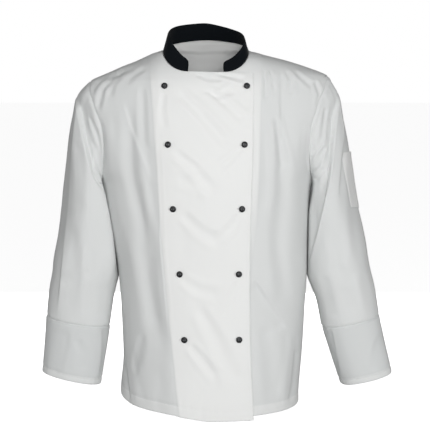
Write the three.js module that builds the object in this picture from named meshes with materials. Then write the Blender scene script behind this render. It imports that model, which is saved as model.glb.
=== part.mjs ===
// Chef jacket in its worn form, hollow, as if a wearer filled it. Sizes in millimetres, +Z up.
// The front faces -Y and the wearer's right side lies at -X. The origin is the middle of the
// neck's base, level with the two points where the shoulder seams meet the collar.
import * as THREE from "three";

// Cloth
const CLOTH = 1.4; // one layer with its seams
const TURNED_CLOTH = 1.2; // what a turned hem or a facing adds inside
const COLLAR_CLOTH = 2.6;
const SEAM_GAP = 0.3;
const ARMHOLE_GAP = 0.5;
const LAP_LIFT = 4.4; // the top front's outer face stands this far off the under front's

// Lengths and heights
const HEM_DEEP = 22;
const HEM_EDGE = 3; // the short ramp where a turned hem ends
const HEM_CENTRE_BACK = -712;
const ARMPIT = -265;
const ARMPIT_CENTRE_FRONT = -290;
const ARMPIT_CENTRE_BACK = -285;
const SHOULDER_CENTRE_FRONT = -103;
const SHOULDER_CENTRE_BACK = -36;
const ARMHOLE_FRONT = 72; // the armhole's reach before and behind the shoulder line
const ARMHOLE_BACK = 78;

// Neck and collar
const NECK_HALF = 87;
const NECK_BACK_RISE = 20;
const COLLAR_FRONT_DROP = 45;
const COLLAR_END_HALF = 35; // the collar's front ends lie this far from the centre line
const LAP_TOP_DROP = 48.5; // the straight top edge of the lap falls to this at its corner
const UNDER_TOP_DROP = 53;
const UNDER_HEM_TUCK = 9; // the under front's hem rises by this behind the lap
const COLLAR_TALL = 38; // it has settled lower on the wearer's left
const COLLAR_TALL_LEFT = 27.5;
const COLLAR_CORNER = 15;
const COLLAR_LEAN = { front: 30, side: 15, back: 26 }; // degrees inwards from upright

// Cuffs and pocket
const CUFF_HEM_DEEP = 13;
const POCKET_CLOTH = 2.0;
const POCKET_OFF = 0.4;
const POCKET_TOP_STEP = 4; // grid places on the left sleeve, counted from the cap's lower end
const POCKET_BOTTOM_STEP = 0;
const POCKET_FIRST_COLUMN = 8;
const POCKET_LAST_COLUMN = 11;

// Stud buttons
const STUD_RADIUS = 6.25;
const STUD_TALL = 5.2;
const STUD_NECK_RADIUS = 2.6;
const STUD_NECK_TALL = 1.2;

// How many steps each grid has
const LOW_STEPS = 7;
const ARM_STEPS = 10;
const SHOULDER_STEPS = 5;
const SIDE_SHARES = [0, 0.14, 0.28, 0.42, 0.56, 0.7, 0.84, 0.965, 1];
const BAND_STEPS = 11;
const COLLAR_END_COLUMN = 12;
const BACK_HALF_STEPS = 8;
const COLLAR_ROWS = 4;
const CAP_STEPS = 8;
const ARM_LOW_STEPS = 6;
const CUFF_SHARES = [0, 0.3, 0.6, 0.86];

// Level sections of the body: its reach to the wearer's right and left of the centre line,
// its depth before and behind the shoulder line, and how square the section is (2 is an ellipse)
const BODY = [
  { z: -740, right: 179, left: 191, front: 138, back: 126, square: 2.25 },
  { z: -690, right: 177, left: 192, front: 136, back: 125, square: 2.25 },
  { z: -625, right: 171, left: 197, front: 133, back: 122, square: 2.25 },
  { z: -525, right: 175, left: 203, front: 131, back: 117, square: 2.25 },
  { z: -450, right: 181, left: 207, front: 131, back: 115, square: 2.25 },
  { z: -373, right: 196, left: 208, front: 133, back: 120, square: 2.2 },
  { z: -308, right: 209, left: 210, front: 136, back: 128, square: 2.15 },
  { z: -265, right: 214, left: 216, front: 136, back: 133, square: 2.1 },
  { z: -215, right: 228, left: 230, front: 132, back: 136, square: 2.1 },
  { z: -183, right: 241, left: 243, front: 127, back: 136, square: 2.1 },
  { z: -148, right: 254, left: 257, front: 120, back: 133, square: 2.1 },
  { z: -118, right: 263, left: 267, front: 113, back: 128, square: 2.1 },
  { z: -94, right: 259, left: 268, front: 106, back: 121, square: 2.1 },
  { z: -63, right: 233, left: 256, front: 97, back: 112, square: 2.1 },
  { z: -52, right: 211, left: 246, front: 93, back: 109, square: 2.1 },
  { z: -34, right: 170, left: 202, front: 87, back: 103, square: 2.05 },
  { z: -22, right: 140, left: 164, front: 83, back: 98, square: 2 },
  { z: -10, right: 113, left: 117, front: 78, back: 92, square: 2 },
  { z: 0, right: 87, left: 87, front: 73, back: 86, square: 2 },
  { z: 20, right: 82, left: 82, front: 70, back: 74, square: 2 },
];

// Lines down the front, as x at each height: the lap's free edge, the under layer's free edge,
// and the inner edges of both facings
const FRONT_LINES = [
  { z: -731, lapEdge: 94, underEdge: -66, rightFacing: -52, leftFacing: 84 },
  { z: -571, lapEdge: 87, underEdge: -63, rightFacing: -68, leftFacing: 86 },
  { z: -440, lapEdge: 86, underEdge: -72, rightFacing: -80, leftFacing: 91 },
  { z: -311, lapEdge: 88, underEdge: -81, rightFacing: -90, leftFacing: 101 },
  { z: -186, lapEdge: 92, underEdge: -88, rightFacing: -99, leftFacing: 106 },
  { z: -45, lapEdge: 93, underEdge: -90, rightFacing: -109, leftFacing: 109 },
];

// What differs between the wearer's right and left side
const SIDES = {
  right: {
    sign: -1,
    shoulder: -63,
    hem: -700,
    centreHem: -735,
    capSwing: 1.0,
    facing: "rightFacing",
    edge: "lapEdge",
  },
  left: {
    sign: 1,
    shoulder: -52,
    hem: -722,
    centreHem: -730,
    capSwing: 0.6,
    facing: "leftFacing",
    edge: "underEdge",
  },
};

// Sections square to each arm, from the upper arm to the cuff's hem: the centre, half the
// width across and half the depth, by how many degrees the outer end is raised, and by how
// many the section's front is turned in towards the body
const SLEEVES = {
  right: [
    { z: -670, x: -277, y: -24, half: 61.5, deep: 44, tilt: 12.5, turnedIn: 0 },
    { z: -600, x: -268, y: -18, half: 64, deep: 50, tilt: 10.5, turnedIn: 0 },
    { z: -553, x: -263, y: -13, half: 66, deep: 57, tilt: 9.7, turnedIn: 0 },
    { z: -500, x: -257, y: -7, half: 67, deep: 66, tilt: 7, turnedIn: 4 },
    { z: -450, x: -249.75, y: -2, half: 68.3, deep: 74, tilt: 6, turnedIn: 10 },
    { z: -380, x: -249.75, y: 4, half: 52, deep: 82, tilt: 5, turnedIn: 15 },
    { z: -330, x: -250.5, y: 6, half: 40.5, deep: 86, tilt: 4, turnedIn: 16 },
  ],
  left: [
    { z: -671, x: 329, y: -24, half: 54, deep: 46, tilt: 13.5, turnedIn: 0 },
    { z: -600, x: 309, y: -18, half: 58, deep: 52, tilt: 13, turnedIn: 0 },
    { z: -553, x: 296.5, y: -13, half: 60, deep: 58, tilt: 12.6, turnedIn: 0 },
    { z: -500, x: 286.5, y: -7, half: 61, deep: 66, tilt: 12, turnedIn: 4 },
    { z: -450, x: 273.5, y: -2, half: 64.8, deep: 74, tilt: 10, turnedIn: 9 },
    { z: -380, x: 267.5, y: 4, half: 57, deep: 80, tilt: 8, turnedIn: 15 },
    { z: -330, x: 263, y: 6, half: 50, deep: 86, tilt: 6, turnedIn: 16 },
  ],
};
const CUFF_SEAM = -553;
const CAP_END = -330;

// The largest creases, each from one point to another as seen from the front, with its
// half-width and its depth, which is below zero in a trough
const FRONT_CREASES = [
  { x: -161, z: -112, toX: -144, toZ: -220, half: 12, deep: -4 },
  { x: -144, z: -220, toX: -122, toZ: -480, half: 14, deep: -4 },
  { x: -122, z: -480, toX: -106, toZ: -596, half: 12, deep: -3 },
  { x: 150, z: -130, toX: 146, toZ: -350, half: 13, deep: -4 },
  { x: 146, z: -350, toX: 168, toZ: -543, half: 13, deep: -4 },
  { x: 100, z: -450, toX: 158, toZ: -540, half: 10, deep: -2 },
  { x: -160, z: -590, toX: -140, toZ: -731, half: 12, deep: 5 },
  { x: -60, z: -120, toX: 40, toZ: -210, half: 12, deep: -2 },
];
const BACK_CREASES = [
  { x: -130, z: -150, toX: -90, toZ: -420, half: 16, deep: -5 },
  { x: 120, z: -170, toX: 96, toZ: -460, half: 16, deep: -5 },
  { x: -20, z: -330, toX: -34, toZ: -700, half: 18, deep: -4 },
  { x: 60, z: -480, toX: 74, toZ: -712, half: 15, deep: -4 },
  { x: -110, z: -520, toX: -122, toZ: -705, half: 14, deep: -4 },
];
const SLEEVE_FRONT_CREASES = [
  { x: -258, z: -118, toX: -214, toZ: -275, half: 10, deep: 3 },
  { x: -238, z: -135, toX: -200, toZ: -255, half: 11, deep: -4 },
  { x: -230, z: -400, toX: -300, toZ: -455, half: 12, deep: -4 },
  { x: -214, z: -480, toX: -288, toZ: -500, half: 10, deep: -3 },
  { x: 265, z: -110, toX: 240, toZ: -285, half: 10, deep: 3 },
  { x: 248, z: -140, toX: 226, toZ: -265, half: 11, deep: -4 },
  { x: 246, z: -395, toX: 318, toZ: -440, half: 12, deep: -4 },
  { x: 250, z: -475, toX: 330, toZ: -500, half: 10, deep: -3 },
];
const SLEEVE_BACK_CREASES = [
  { x: -235, z: -330, toX: -300, toZ: -400, half: 12, deep: -4 },
  { x: -225, z: -440, toX: -305, toZ: -470, half: 12, deep: -4 },
  { x: 245, z: -325, toX: 312, toZ: -392, half: 12, deep: -4 },
  { x: 240, z: -432, toX: 330, toZ: -462, half: 12, deep: -4 },
];

// Stud places on the fronts
const STUDS = [
  { z: -73, right: -80.5, left: 80 },
  { z: -186, right: -73.4, left: 75.3 },
  { z: -311, right: -63.6, left: 70.4 },
  { z: -440, right: -51.1, left: 64.6 },
  { z: -571, right: -42.2, left: 65.4 },
];

const radians = THREE.MathUtils.degToRad;
const mix = THREE.MathUtils.lerp;
const ease = (value) => THREE.MathUtils.smoothstep(value, 0, 1);
const along = (from, to, share) => from.clone().lerp(to, share);

// A curve through one column of a table, level at its peaks, so it never swings past a row
function curveThrough(rows, name) {
  const order = [...rows].sort((a, b) => a.z - b.z);
  const heights = order.map((row) => row.z);
  const values = order.map((row) => row[name]);
  const last = order.length - 1;
  const step = (i) => (values[i + 1] - values[i]) / (heights[i + 1] - heights[i]);
  const slopes = heights.map((_, i) => {
    const before = step(Math.max(i - 1, 0));
    const after = step(Math.min(i, last - 1));
    return before * after <= 0 ? 0 : (2 * before * after) / (before + after);
  });
  return (z) => {
    const at = THREE.MathUtils.clamp(z, heights[0], heights[last]);
    let i = 0;
    while (i < last - 1 && at > heights[i + 1]) i += 1;
    const span = heights[i + 1] - heights[i];
    const t = (at - heights[i]) / span;
    const rise = t * t * (3 - 2 * t);
    const leave = t * (1 - t) * (1 - t) * span * slopes[i];
    const arrive = t * t * (t - 1) * span * slopes[i + 1];
    return mix(values[i], values[i + 1], rise) + leave + arrive;
  };
}

function curves(rows, names) {
  return Object.fromEntries(names.map((name) => [name, curveThrough(rows, name)]));
}

const body = curves(BODY, ["right", "left", "front", "back", "square"]);
const lines = curves(FRONT_LINES, ["lapEdge", "underEdge", "rightFacing", "leftFacing"]);
const arms = {
  right: curves(SLEEVES.right, ["x", "y", "half", "deep", "tilt", "turnedIn"]),
  left: curves(SLEEVES.left, ["x", "y", "half", "deep", "tilt", "turnedIn"]),
};

// A rounded section: a circle's sine or cosine, swelled to a squarer form
function swelled(value, square) {
  return Math.sign(value) * Math.abs(value) ** (2 / square);
}

// The body's surface. The angle is 0 at the centre front, 90 at the wearer's left side,
// 180 at the centre back and 270 or -90 at the wearer's right side.
function bodyPoint(z, angle) {
  const sine = swelled(Math.sin(radians(angle)), body.square(z));
  const cosine = swelled(Math.cos(radians(angle)), body.square(z));
  const reach = sine > 0 ? body.left(z) : body.right(z);
  const depth = cosine > 0 ? body.front(z) : body.back(z);
  return new THREE.Vector3(reach * sine, -depth * cosine, z);
}

// The angle at which the front has a given x
function frontAngle(z, x) {
  const reach = x > 0 ? body.left(z) : body.right(z);
  const share = Math.min(Math.abs(x) / reach, 1) ** (body.square(z) / 2);
  return Math.sign(x) * THREE.MathUtils.radToDeg(Math.asin(share));
}

function bodyNormal(z, angle) {
  const turn = 0.5;
  const rise = 1;
  const around = bodyPoint(z, angle + turn).sub(bodyPoint(z, angle - turn));
  const upward = bodyPoint(z + rise, angle).sub(bodyPoint(z - rise, angle));
  return around.cross(upward).normalize();
}

// How far a table's creases move a point that lies at x and z in the view from the front
function creaseAt(creases, x, z) {
  const move = creases.map((crease) => {
    const start = new THREE.Vector2(crease.x, crease.z);
    const run = new THREE.Vector2(crease.toX, crease.toZ).sub(start);
    const point = new THREE.Vector2(x, z).sub(start);
    const share = THREE.MathUtils.clamp(point.dot(run) / run.lengthSq(), 0, 1);
    const away = point.sub(run.multiplyScalar(share)).length() / crease.half;
    const fade = 1 - (2 * share - 1) ** 4;
    return crease.deep * Math.exp(-away * away) * (0.25 + 0.75 * fade);
  });
  return move.reduce((sum, value) => sum + value, 0);
}

// A point of the body with its creases, moved out by lift
function dressedPoint(z, angle, lift = 0) {
  const point = bodyPoint(z, angle);
  const normal = bodyNormal(z, angle);
  const creases = normal.y < 0 ? FRONT_CREASES : BACK_CREASES;
  const facing = Math.abs(normal.y) ** 2;
  const move = lift + creaseAt(creases, point.x, point.z) * facing;
  return point.addScaledVector(normal, move);
}

// The heights of a grid's rows between the named heights of one upright line. Beside the
// armhole they follow its round form, and elsewhere they are even.
function rowHeights(hem, armpit, shoulder, neck, besideArmhole) {
  const rows = [hem, hem + HEM_DEEP];
  const low = hem + HEM_DEEP + HEM_EDGE;
  for (let i = 0; i < LOW_STEPS; i += 1) rows.push(mix(low, armpit, i / LOW_STEPS));
  for (let i = 0; i < ARM_STEPS; i += 1) {
    const even = i / ARM_STEPS;
    const round = (1 - Math.cos(Math.PI * even)) / 2;
    rows.push(mix(armpit, shoulder, besideArmhole ? round : even));
  }
  for (let i = 0; i <= SHOULDER_STEPS; i += 1) rows.push(mix(shoulder, neck, i / SHOULDER_STEPS));
  return rows;
}

const ARMPIT_ROW = 2 + LOW_STEPS;
const SHOULDER_ROW = ARMPIT_ROW + ARM_STEPS;
const NECK_ROW = SHOULDER_ROW + SHOULDER_STEPS;
const besideArmhole = (row) => row > ARMPIT_ROW && row < SHOULDER_ROW;

// The outer edge of a front or of half the back: side seam, armhole, then shoulder seam.
// Its turn is the angle from the centre line, 90 along both seams and less in the armhole.
function outerEdge(side, face) {
  const heights = rowHeights(side.hem, ARMPIT, side.shoulder, 0, true);
  const reach = face === "front" ? ARMHOLE_FRONT : ARMHOLE_BACK;
  return heights.map((z, row) => {
    if (!besideArmhole(row)) return { z, turn: 90 };
    const swing = Math.sin((Math.PI * (row - ARMPIT_ROW)) / ARM_STEPS);
    const share = ((reach * swing) / body[face](z)) ** (body.square(z) / 2);
    return { z, turn: THREE.MathUtils.radToDeg(Math.acos(share)) };
  });
}

// The front neckline's rounded part, from the shoulder seam to the collar's end, as places
// at equal shares of its length, packed closer towards the collar's rounded end
function frontNeckline(side) {
  const fine = 240;
  const places = [];
  let length = 0;
  for (let i = 0; i <= fine; i += 1) {
    const turn = (Math.PI / 2) * (i / fine) ** 2;
    const x = side.sign * mix(COLLAR_END_HALF, NECK_HALF, Math.cos(turn));
    const z = -COLLAR_FRONT_DROP * Math.sin(turn);
    const angle = i === 0 ? side.sign * 90 : frontAngle(z, x);
    const point = bodyPoint(z, angle);
    if (i > 0) length += point.distanceTo(places[i - 1].point);
    places.push({ z, angle, point, length });
  }
  const chosen = [];
  for (let i = 0; i <= COLLAR_END_COLUMN; i += 1) {
    const share = 1 - (1 - i / COLLAR_END_COLUMN) ** 1.5;
    chosen.push(places.find((place) => place.length >= share * length - 1e-6));
  }
  return chosen;
}

// One front as a grid of rows from hem to neck, each from the outer edge to the free edge
function frontGrid(name) {
  const side = SIDES[name];
  const lapped = name === "right";
  const edge = outerEdge(side, "front");
  const cornerDrop = lapped ? LAP_TOP_DROP : UNDER_TOP_DROP;
  const inner = rowHeights(
    side.centreHem,
    ARMPIT_CENTRE_FRONT,
    SHOULDER_CENTRE_FRONT,
    -cornerDrop,
    false,
  );
  const neckline = frontNeckline(side);
  const columns = SIDE_SHARES.length + BAND_STEPS;
  const facingColumn = SIDE_SHARES.length - 1;
  const top = [];
  for (let i = 0; i < columns; i += 1) {
    if (i <= COLLAR_END_COLUMN) {
      top.push(neckline[i]);
      continue;
    }
    const share = (i - COLLAR_END_COLUMN) / (columns - 1 - COLLAR_END_COLUMN);
    const z = -mix(COLLAR_FRONT_DROP, cornerDrop, lapped ? share : ease(3 * share));
    const x = mix(side.sign * COLLAR_END_HALF, lines[side.edge](z), share);
    top.push({ z, angle: frontAngle(z, x) });
  }
  const rows = edge.map((outer, row) => {
    const towardsNeck = Math.max(row - SHOULDER_ROW, 0) / SHOULDER_STEPS;
    return top.map((place, i) => {
      const upArmhole = THREE.MathUtils.clamp((row - ARMPIT_ROW) / ARM_STEPS, 0, 1);
      const lowDrop = Math.min(i / COLLAR_END_COLUMN, 1) ** mix(0.7, 1.7, upArmhole);
      const drop = mix(lowDrop, Math.min(place.z / -cornerDrop, 1), towardsNeck);
      const tuck = UNDER_HEM_TUCK * ease((i - COLLAR_END_COLUMN) / 6) * (1 - row / NECK_ROW);
      const hung = mix(outer.z, inner[row], drop) + (lapped ? 0 : tuck);
      const z = row === NECK_ROW ? place.z : hung;
      const facingX = lines[side.facing](z);
      let angle;
      if (i <= facingColumn) {
        const outerAngle = side.sign * outer.turn;
        angle = mix(outerAngle, frontAngle(z, facingX), SIDE_SHARES[i]);
      } else {
        const share = (i - facingColumn) / BAND_STEPS;
        angle = frontAngle(z, mix(facingX, lines[side.edge](z), share));
      }
      angle = mix(angle, place.angle, towardsNeck ** 2);
      const x = bodyPoint(z, angle).x;
      const overUnder = ease((x - lines.underEdge(z) + 32) / 30);
      const lift = lapped ? LAP_LIFT * overUnder * ease(i / 5) : 0;
      const normal = bodyNormal(z, angle);
      const doubled = i >= facingColumn ? TURNED_CLOTH : 0;
      const turned = row < 2 ? TURNED_CLOTH : 0;
      return { point: dressedPoint(z, angle, lift), normal, thick: CLOTH + doubled + turned };
    });
  });
  return lapped ? rows : rows.map((row) => row.reverse());
}

// The back as a grid of rows from hem to neck, each from the wearer's left to the right
function backGrid() {
  const edges = { left: outerEdge(SIDES.left, "back"), right: outerEdge(SIDES.right, "back") };
  const inner = rowHeights(
    HEM_CENTRE_BACK,
    ARMPIT_CENTRE_BACK,
    SHOULDER_CENTRE_BACK,
    NECK_BACK_RISE,
    false,
  );
  const rows = [];
  for (let row = 0; row <= NECK_ROW; row += 1) {
    const places = [];
    for (let i = -BACK_HALF_STEPS; i <= BACK_HALF_STEPS; i += 1) {
      const name = i < 0 ? "left" : "right";
      const share = 1 - Math.abs(i) / BACK_HALF_STEPS;
      const outer = edges[name][row];
      const z = mix(outer.z, inner[row], Math.sin((share * Math.PI) / 2));
      const away = i < 0 ? -1 : 1;
      const neckX = NECK_HALF * Math.cos((share * Math.PI) / 2);
      const neckTurn = share === 0 ? 90 : Math.abs(frontAngle(z, -away * neckX));
      const towardsNeck = Math.max(row - SHOULDER_ROW, 0) / SHOULDER_STEPS;
      const turn = mix(outer.turn * (1 - share), neckTurn, towardsNeck ** 2);
      const angle = 180 + away * turn;
      const thick = CLOTH + (row < 2 ? TURNED_CLOTH : 0);
      places.push({ point: dressedPoint(z, angle), normal: bodyNormal(z, angle), thick });
    }
    rows.push(places);
  }
  return rows;
}

// A section square to an arm, its points counter-clockwise from above and from the inner side
function armSection(name, z, turn) {
  const arm = arms[name];
  const sign = SIDES[name].sign;
  const tilt = radians(arm.tilt(z));
  const turnedIn = sign * radians(arm.turnedIn(z));
  const across = new THREE.Vector3(Math.cos(tilt), 0, sign * Math.sin(tilt));
  across.applyAxisAngle(new THREE.Vector3(0, 0, 1), -turnedIn);
  const backwards = new THREE.Vector3(Math.sin(turnedIn), Math.cos(turnedIn), 0);
  const start = name === "right" ? 0 : Math.PI;
  const square = 2.15;
  const sine = swelled(Math.sin(start + turn), square);
  const cosine = swelled(Math.cos(start + turn), square);
  return new THREE.Vector3(arm.x(z), arm.y(z), z)
    .addScaledVector(backwards, arm.deep(z) * sine)
    .addScaledVector(across, arm.half(z) * cosine);
}

function creasedSleevePoint(point, outward) {
  const creases = outward.y < 0 ? SLEEVE_FRONT_CREASES : SLEEVE_BACK_CREASES;
  const move = creaseAt(creases, point.x, point.z) * outward.y ** 2;
  return point.clone().addScaledVector(outward, move);
}

// A sleeve as rings from its armhole down to the cuff's seam. The first ring is the armhole
// itself, and the cap swings out from it and down to the first section of the arm.
function sleeveRings(name, armhole) {
  const sign = SIDES[name].sign;
  const count = armhole.length;
  const turns = armhole.map((_, k) => (2 * Math.PI * k) / count);
  const rings = [];
  for (let step = 0; step <= CAP_STEPS; step += 1) {
    const t = step / CAP_STEPS;
    rings.push(
      armhole.map(({ point: start }, k) => {
        const end = armSection(name, CAP_END, turns[k]);
        const above = (1 - Math.cos(turns[k])) / 2;
        const length = start.distanceTo(end);
        const outwards = mix(0.35, SIDES[name].capSwing, above);
        const leave = new THREE.Vector3(sign * outwards, 0, -0.8).setLength(length);
        const lower = armSection(name, CAP_END - 20, turns[k]);
        const arrive = lower.sub(end).setLength(length * 0.8);
        const rise = t * t * (3 - 2 * t);
        return along(start, end, rise)
          .addScaledVector(leave, t * (1 - t) * (1 - t))
          .addScaledVector(arrive, t * t * (t - 1));
      }),
    );
  }
  for (let step = 1; step <= ARM_LOW_STEPS; step += 1) {
    const z = mix(CAP_END, CUFF_SEAM, step / ARM_LOW_STEPS);
    rings.push(turns.map((turn) => armSection(name, z, turn)));
  }
  return rings;
}

function cuffRings(name, count) {
  const hem = Math.min(...SLEEVES[name].map((row) => row.z));
  const heights = CUFF_SHARES.map((share) => mix(CUFF_SEAM, hem, share));
  heights.push(hem + CUFF_HEM_DEEP + HEM_EDGE, hem + CUFF_HEM_DEEP, hem);
  return heights.map((z) => {
    const ring = [];
    for (let k = 0; k < count; k += 1) ring.push(armSection(name, z, (2 * Math.PI * k) / count));
    return ring;
  });
}

// The place on a grid of outer points that the view from the front shows at x and z
function placeOnGrid(rows, x, z) {
  const seen = new THREE.Vector3(x, z, 0);
  const flat = (point) => new THREE.Vector3(point.x, point.z, 0);
  for (let j = 0; j < rows.length - 1; j += 1) {
    for (let i = 0; i < rows[0].length - 1; i += 1) {
      const low = [rows[j][i], rows[j][i + 1], rows[j + 1][i + 1]];
      const high = [rows[j][i], rows[j + 1][i + 1], rows[j + 1][i]];
      for (const corners of [low, high]) {
        const points = corners.map((place) => place.point);
        const face = new THREE.Triangle(...points);
        const shares = THREE.Triangle.getBarycoord(seen, ...points.map(flat), new THREE.Vector3());
        if (!shares || Math.min(...shares.toArray()) < 0) continue;
        const point = new THREE.Vector3()
          .addScaledVector(points[0], shares.x)
          .addScaledVector(points[1], shares.y)
          .addScaledVector(points[2], shares.z);
        return { point, normal: face.getNormal(new THREE.Vector3()) };
      }
    }
  }
  throw new Error("no cloth lies there");
}

// A grid's outward direction at one of its points, from its neighbours
function gridNormal(points, row, column, closed) {
  const columns = points[0].length;
  const last = columns - 1;
  const beside = (i) => (closed ? (i + columns) % columns : THREE.MathUtils.clamp(i, 0, last));
  const level = (j) => points[THREE.MathUtils.clamp(j, 0, points.length - 1)];
  const across = level(row)[beside(column + 1)].clone().sub(level(row)[beside(column - 1)]);
  const upward = level(row + 1)[column].clone().sub(level(row - 1)[column]);
  return across.cross(upward).normalize();
}

// Turns a grid of outer points, inward directions and thicknesses into one closed wall.
// Rows run upwards and columns run counter-clockwise seen from above.
function wallMesh(name, material, outer, inner, closed) {
  const rows = outer.length;
  const columns = outer[0].length;
  const positions = [];
  for (const layer of [outer, inner]) {
    for (const row of layer) for (const point of row) positions.push(point.x, point.y, point.z);
  }
  const id = (layer, row, column) => (layer * rows + row) * columns + (column % columns);
  const indices = [];
  const quad = (a, b, c, d) => indices.push(a, b, c, a, c, d);
  const spans = closed ? columns : columns - 1;
  for (let j = 0; j < rows - 1; j += 1) {
    for (let i = 0; i < spans; i += 1) {
      const next = (i + 1) % columns;
      const rising = outer[j][i].distanceTo(outer[j + 1][next]);
      const falling = outer[j][next].distanceTo(outer[j + 1][i]);
      const front = [id(0, j, i), id(0, j, i + 1), id(0, j + 1, i + 1), id(0, j + 1, i)];
      const behind = [id(1, j, i), id(1, j + 1, i), id(1, j + 1, i + 1), id(1, j, i + 1)];
      // A skewed cell is split across its shorter way, so that the cloth stays smooth
      if (falling < rising) {
        front.push(front.shift());
        behind.push(behind.shift());
      }
      quad(...front);
      quad(...behind);
    }
  }
  for (let i = 0; i < spans; i += 1) {
    quad(id(0, 0, i), id(1, 0, i), id(1, 0, i + 1), id(0, 0, i + 1));
    quad(id(0, rows - 1, i), id(0, rows - 1, i + 1), id(1, rows - 1, i + 1), id(1, rows - 1, i));
  }
  for (let j = 0; j < rows - 1 && !closed; j += 1) {
    const end = columns - 1;
    quad(id(0, j, 0), id(0, j + 1, 0), id(1, j + 1, 0), id(1, j, 0));
    quad(id(0, j, end), id(1, j, end), id(1, j + 1, end), id(0, j + 1, end));
  }
  const geometry = new THREE.BufferGeometry();
  geometry.setAttribute("position", new THREE.Float32BufferAttribute(positions, 3));
  geometry.setIndex(indices);
  geometry.computeVertexNormals();
  const mesh = new THREE.Mesh(geometry, material());
  mesh.name = name;
  return mesh;
}

// One piece of cloth from a grid of places, each with its point, its thickness and, on a seam,
// the direction that both pieces share there. A seam's points stand half its gap back.
function clothPiece(name, material, places, closed, inside) {
  const points = places.map((row) => row.map((place) => place.point));
  const outer = points.map((row, j) =>
    row.map((point, i) => {
      const target = inside(j, i);
      const moved = point.clone().add(places[j][i].apart ?? new THREE.Vector3());
      if (!target) return moved;
      const step = points[target[0]][target[1]].clone().sub(point);
      return moved.add(step.setLength(SEAM_GAP / 2));
    }),
  );
  const inner = outer.map((row, j) =>
    row.map((point, i) => {
      const place = places[j][i];
      const outward = place.seam ?? gridNormal(points, j, i, closed);
      return point.clone().addScaledVector(outward, -place.thick);
    }),
  );
  return wallMesh(name, material, outer, inner, closed);
}

const whiteCloth = () =>
  new THREE.MeshStandardMaterial({ color: 0xe8eaea, roughness: 0.92, metalness: 0 });
const blackCloth = () =>
  new THREE.MeshStandardMaterial({ color: 0x121416, roughness: 0.88, metalness: 0 });
const blackPlastic = () =>
  new THREE.MeshStandardMaterial({ color: 0x0c0c0e, roughness: 0.35, metalness: 0 });

// The collar's points above a neckline, which runs from its right end round the back to the
// left end. Each upright line of the collar leans in over the neck.
function collarRows(neckline) {
  const reached = [0];
  neckline.forEach((point, i) => {
    if (i > 0) reached.push(reached[i - 1] + point.distanceTo(neckline[i - 1]));
  });
  const total = reached[reached.length - 1];
  const lines = neckline.map((point, i) => {
    const before = neckline[Math.max(i - 1, 0)];
    const after = neckline[Math.min(i + 1, neckline.length - 1)];
    const run = after.clone().sub(before).setZ(0).normalize();
    const inwards = new THREE.Vector3(-run.y, run.x, 0);
    const facing = inwards.y > 0 ? COLLAR_LEAN.front : COLLAR_LEAN.back;
    const lean = radians(mix(COLLAR_LEAN.side, facing, inwards.y ** 2));
    const up = new THREE.Vector3(0, 0, Math.cos(lean)).addScaledVector(inwards, Math.sin(lean));
    const fromEnd = Math.min(reached[i], total - reached[i], COLLAR_CORNER);
    const missing = COLLAR_CORNER - fromEnd;
    const cut = COLLAR_CORNER - Math.sqrt(COLLAR_CORNER ** 2 - missing ** 2);
    const tall = mix(COLLAR_TALL, COLLAR_TALL_LEFT, ease((point.x + 10) / (NECK_HALF + 10)));
    return { up, tall: tall - cut * 0.92 };
  });
  const rows = [];
  for (let row = 0; row <= COLLAR_ROWS; row += 1) {
    const share = row / COLLAR_ROWS;
    rows.push(
      neckline.map((point, i) => point.clone().addScaledVector(lines[i].up, lines[i].tall * share)),
    );
  }
  return rows;
}

// One stud: a short neck that stands just off the cloth, and a domed head on it
function stud(name, place, outward) {
  const head = SEAM_GAP + STUD_NECK_TALL;
  const dome = STUD_TALL - STUD_NECK_TALL;
  const profile = [
    [0, SEAM_GAP],
    [STUD_NECK_RADIUS, SEAM_GAP],
    [STUD_NECK_RADIUS, head],
    [STUD_RADIUS * 0.88, head],
    [STUD_RADIUS, head + dome * 0.3],
    [STUD_RADIUS * 0.92, head + dome * 0.65],
    [STUD_RADIUS * 0.62, head + dome * 0.92],
    [0, head + dome],
  ].map(([radius, height]) => new THREE.Vector2(radius, height));
  const geometry = new THREE.LatheGeometry(profile, 12);
  const upright = new THREE.Vector3(0, 1, 0);
  geometry.applyQuaternion(new THREE.Quaternion().setFromUnitVectors(upright, outward));
  geometry.translate(place.x, place.y, place.z);
  const mesh = new THREE.Mesh(geometry, blackPlastic());
  mesh.name = name;
  return mesh;
}

// The three body grids, with the shared direction set along side and shoulder seams
const fronts = { right: frontGrid("right"), left: frontGrid("left") };
const back = backGrid();
const outerColumn = { right: 0, left: fronts.left[0].length - 1 };
const backColumn = { right: back[0].length - 1, left: 0 };
for (const name of ["right", "left"]) {
  for (let row = 0; row <= NECK_ROW; row += 1) {
    const place = fronts[name][row][outerColumn[name]];
    place.seam = place.normal;
    back[row][backColumn[name]].seam = place.normal;
  }
}

// An armhole's places, counter-clockwise from above and starting at the armpit
function armholePlaces(name) {
  const rows = Array.from({ length: ARM_STEPS + 1 }, (_, i) => ARMPIT_ROW + i);
  const up = name === "right" ? back : fronts[name];
  const upColumn = name === "right" ? backColumn[name] : outerColumn[name];
  const down = name === "right" ? fronts[name] : back;
  const downColumn = name === "right" ? outerColumn[name] : backColumn[name];
  const climb = rows.slice(0, -1).map((row) => up[row][upColumn]);
  const descend = rows.slice(1).reverse().map((row) => down[row][downColumn]);
  return [...climb, ...descend];
}

function sleevePlaces(name) {
  const armhole = armholePlaces(name);
  const smooth = sleeveRings(name, armhole).reverse();
  const top = smooth.length - 1;
  return smooth.map((ring, j) =>
    ring.map((point, k) => {
      const normal = gridNormal(smooth, j, k, true);
      const onSeam = j === 0 || j === top;
      return { point: onSeam ? point : creasedSleevePoint(point, normal), normal, thick: CLOTH };
    }),
  );
}

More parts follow.
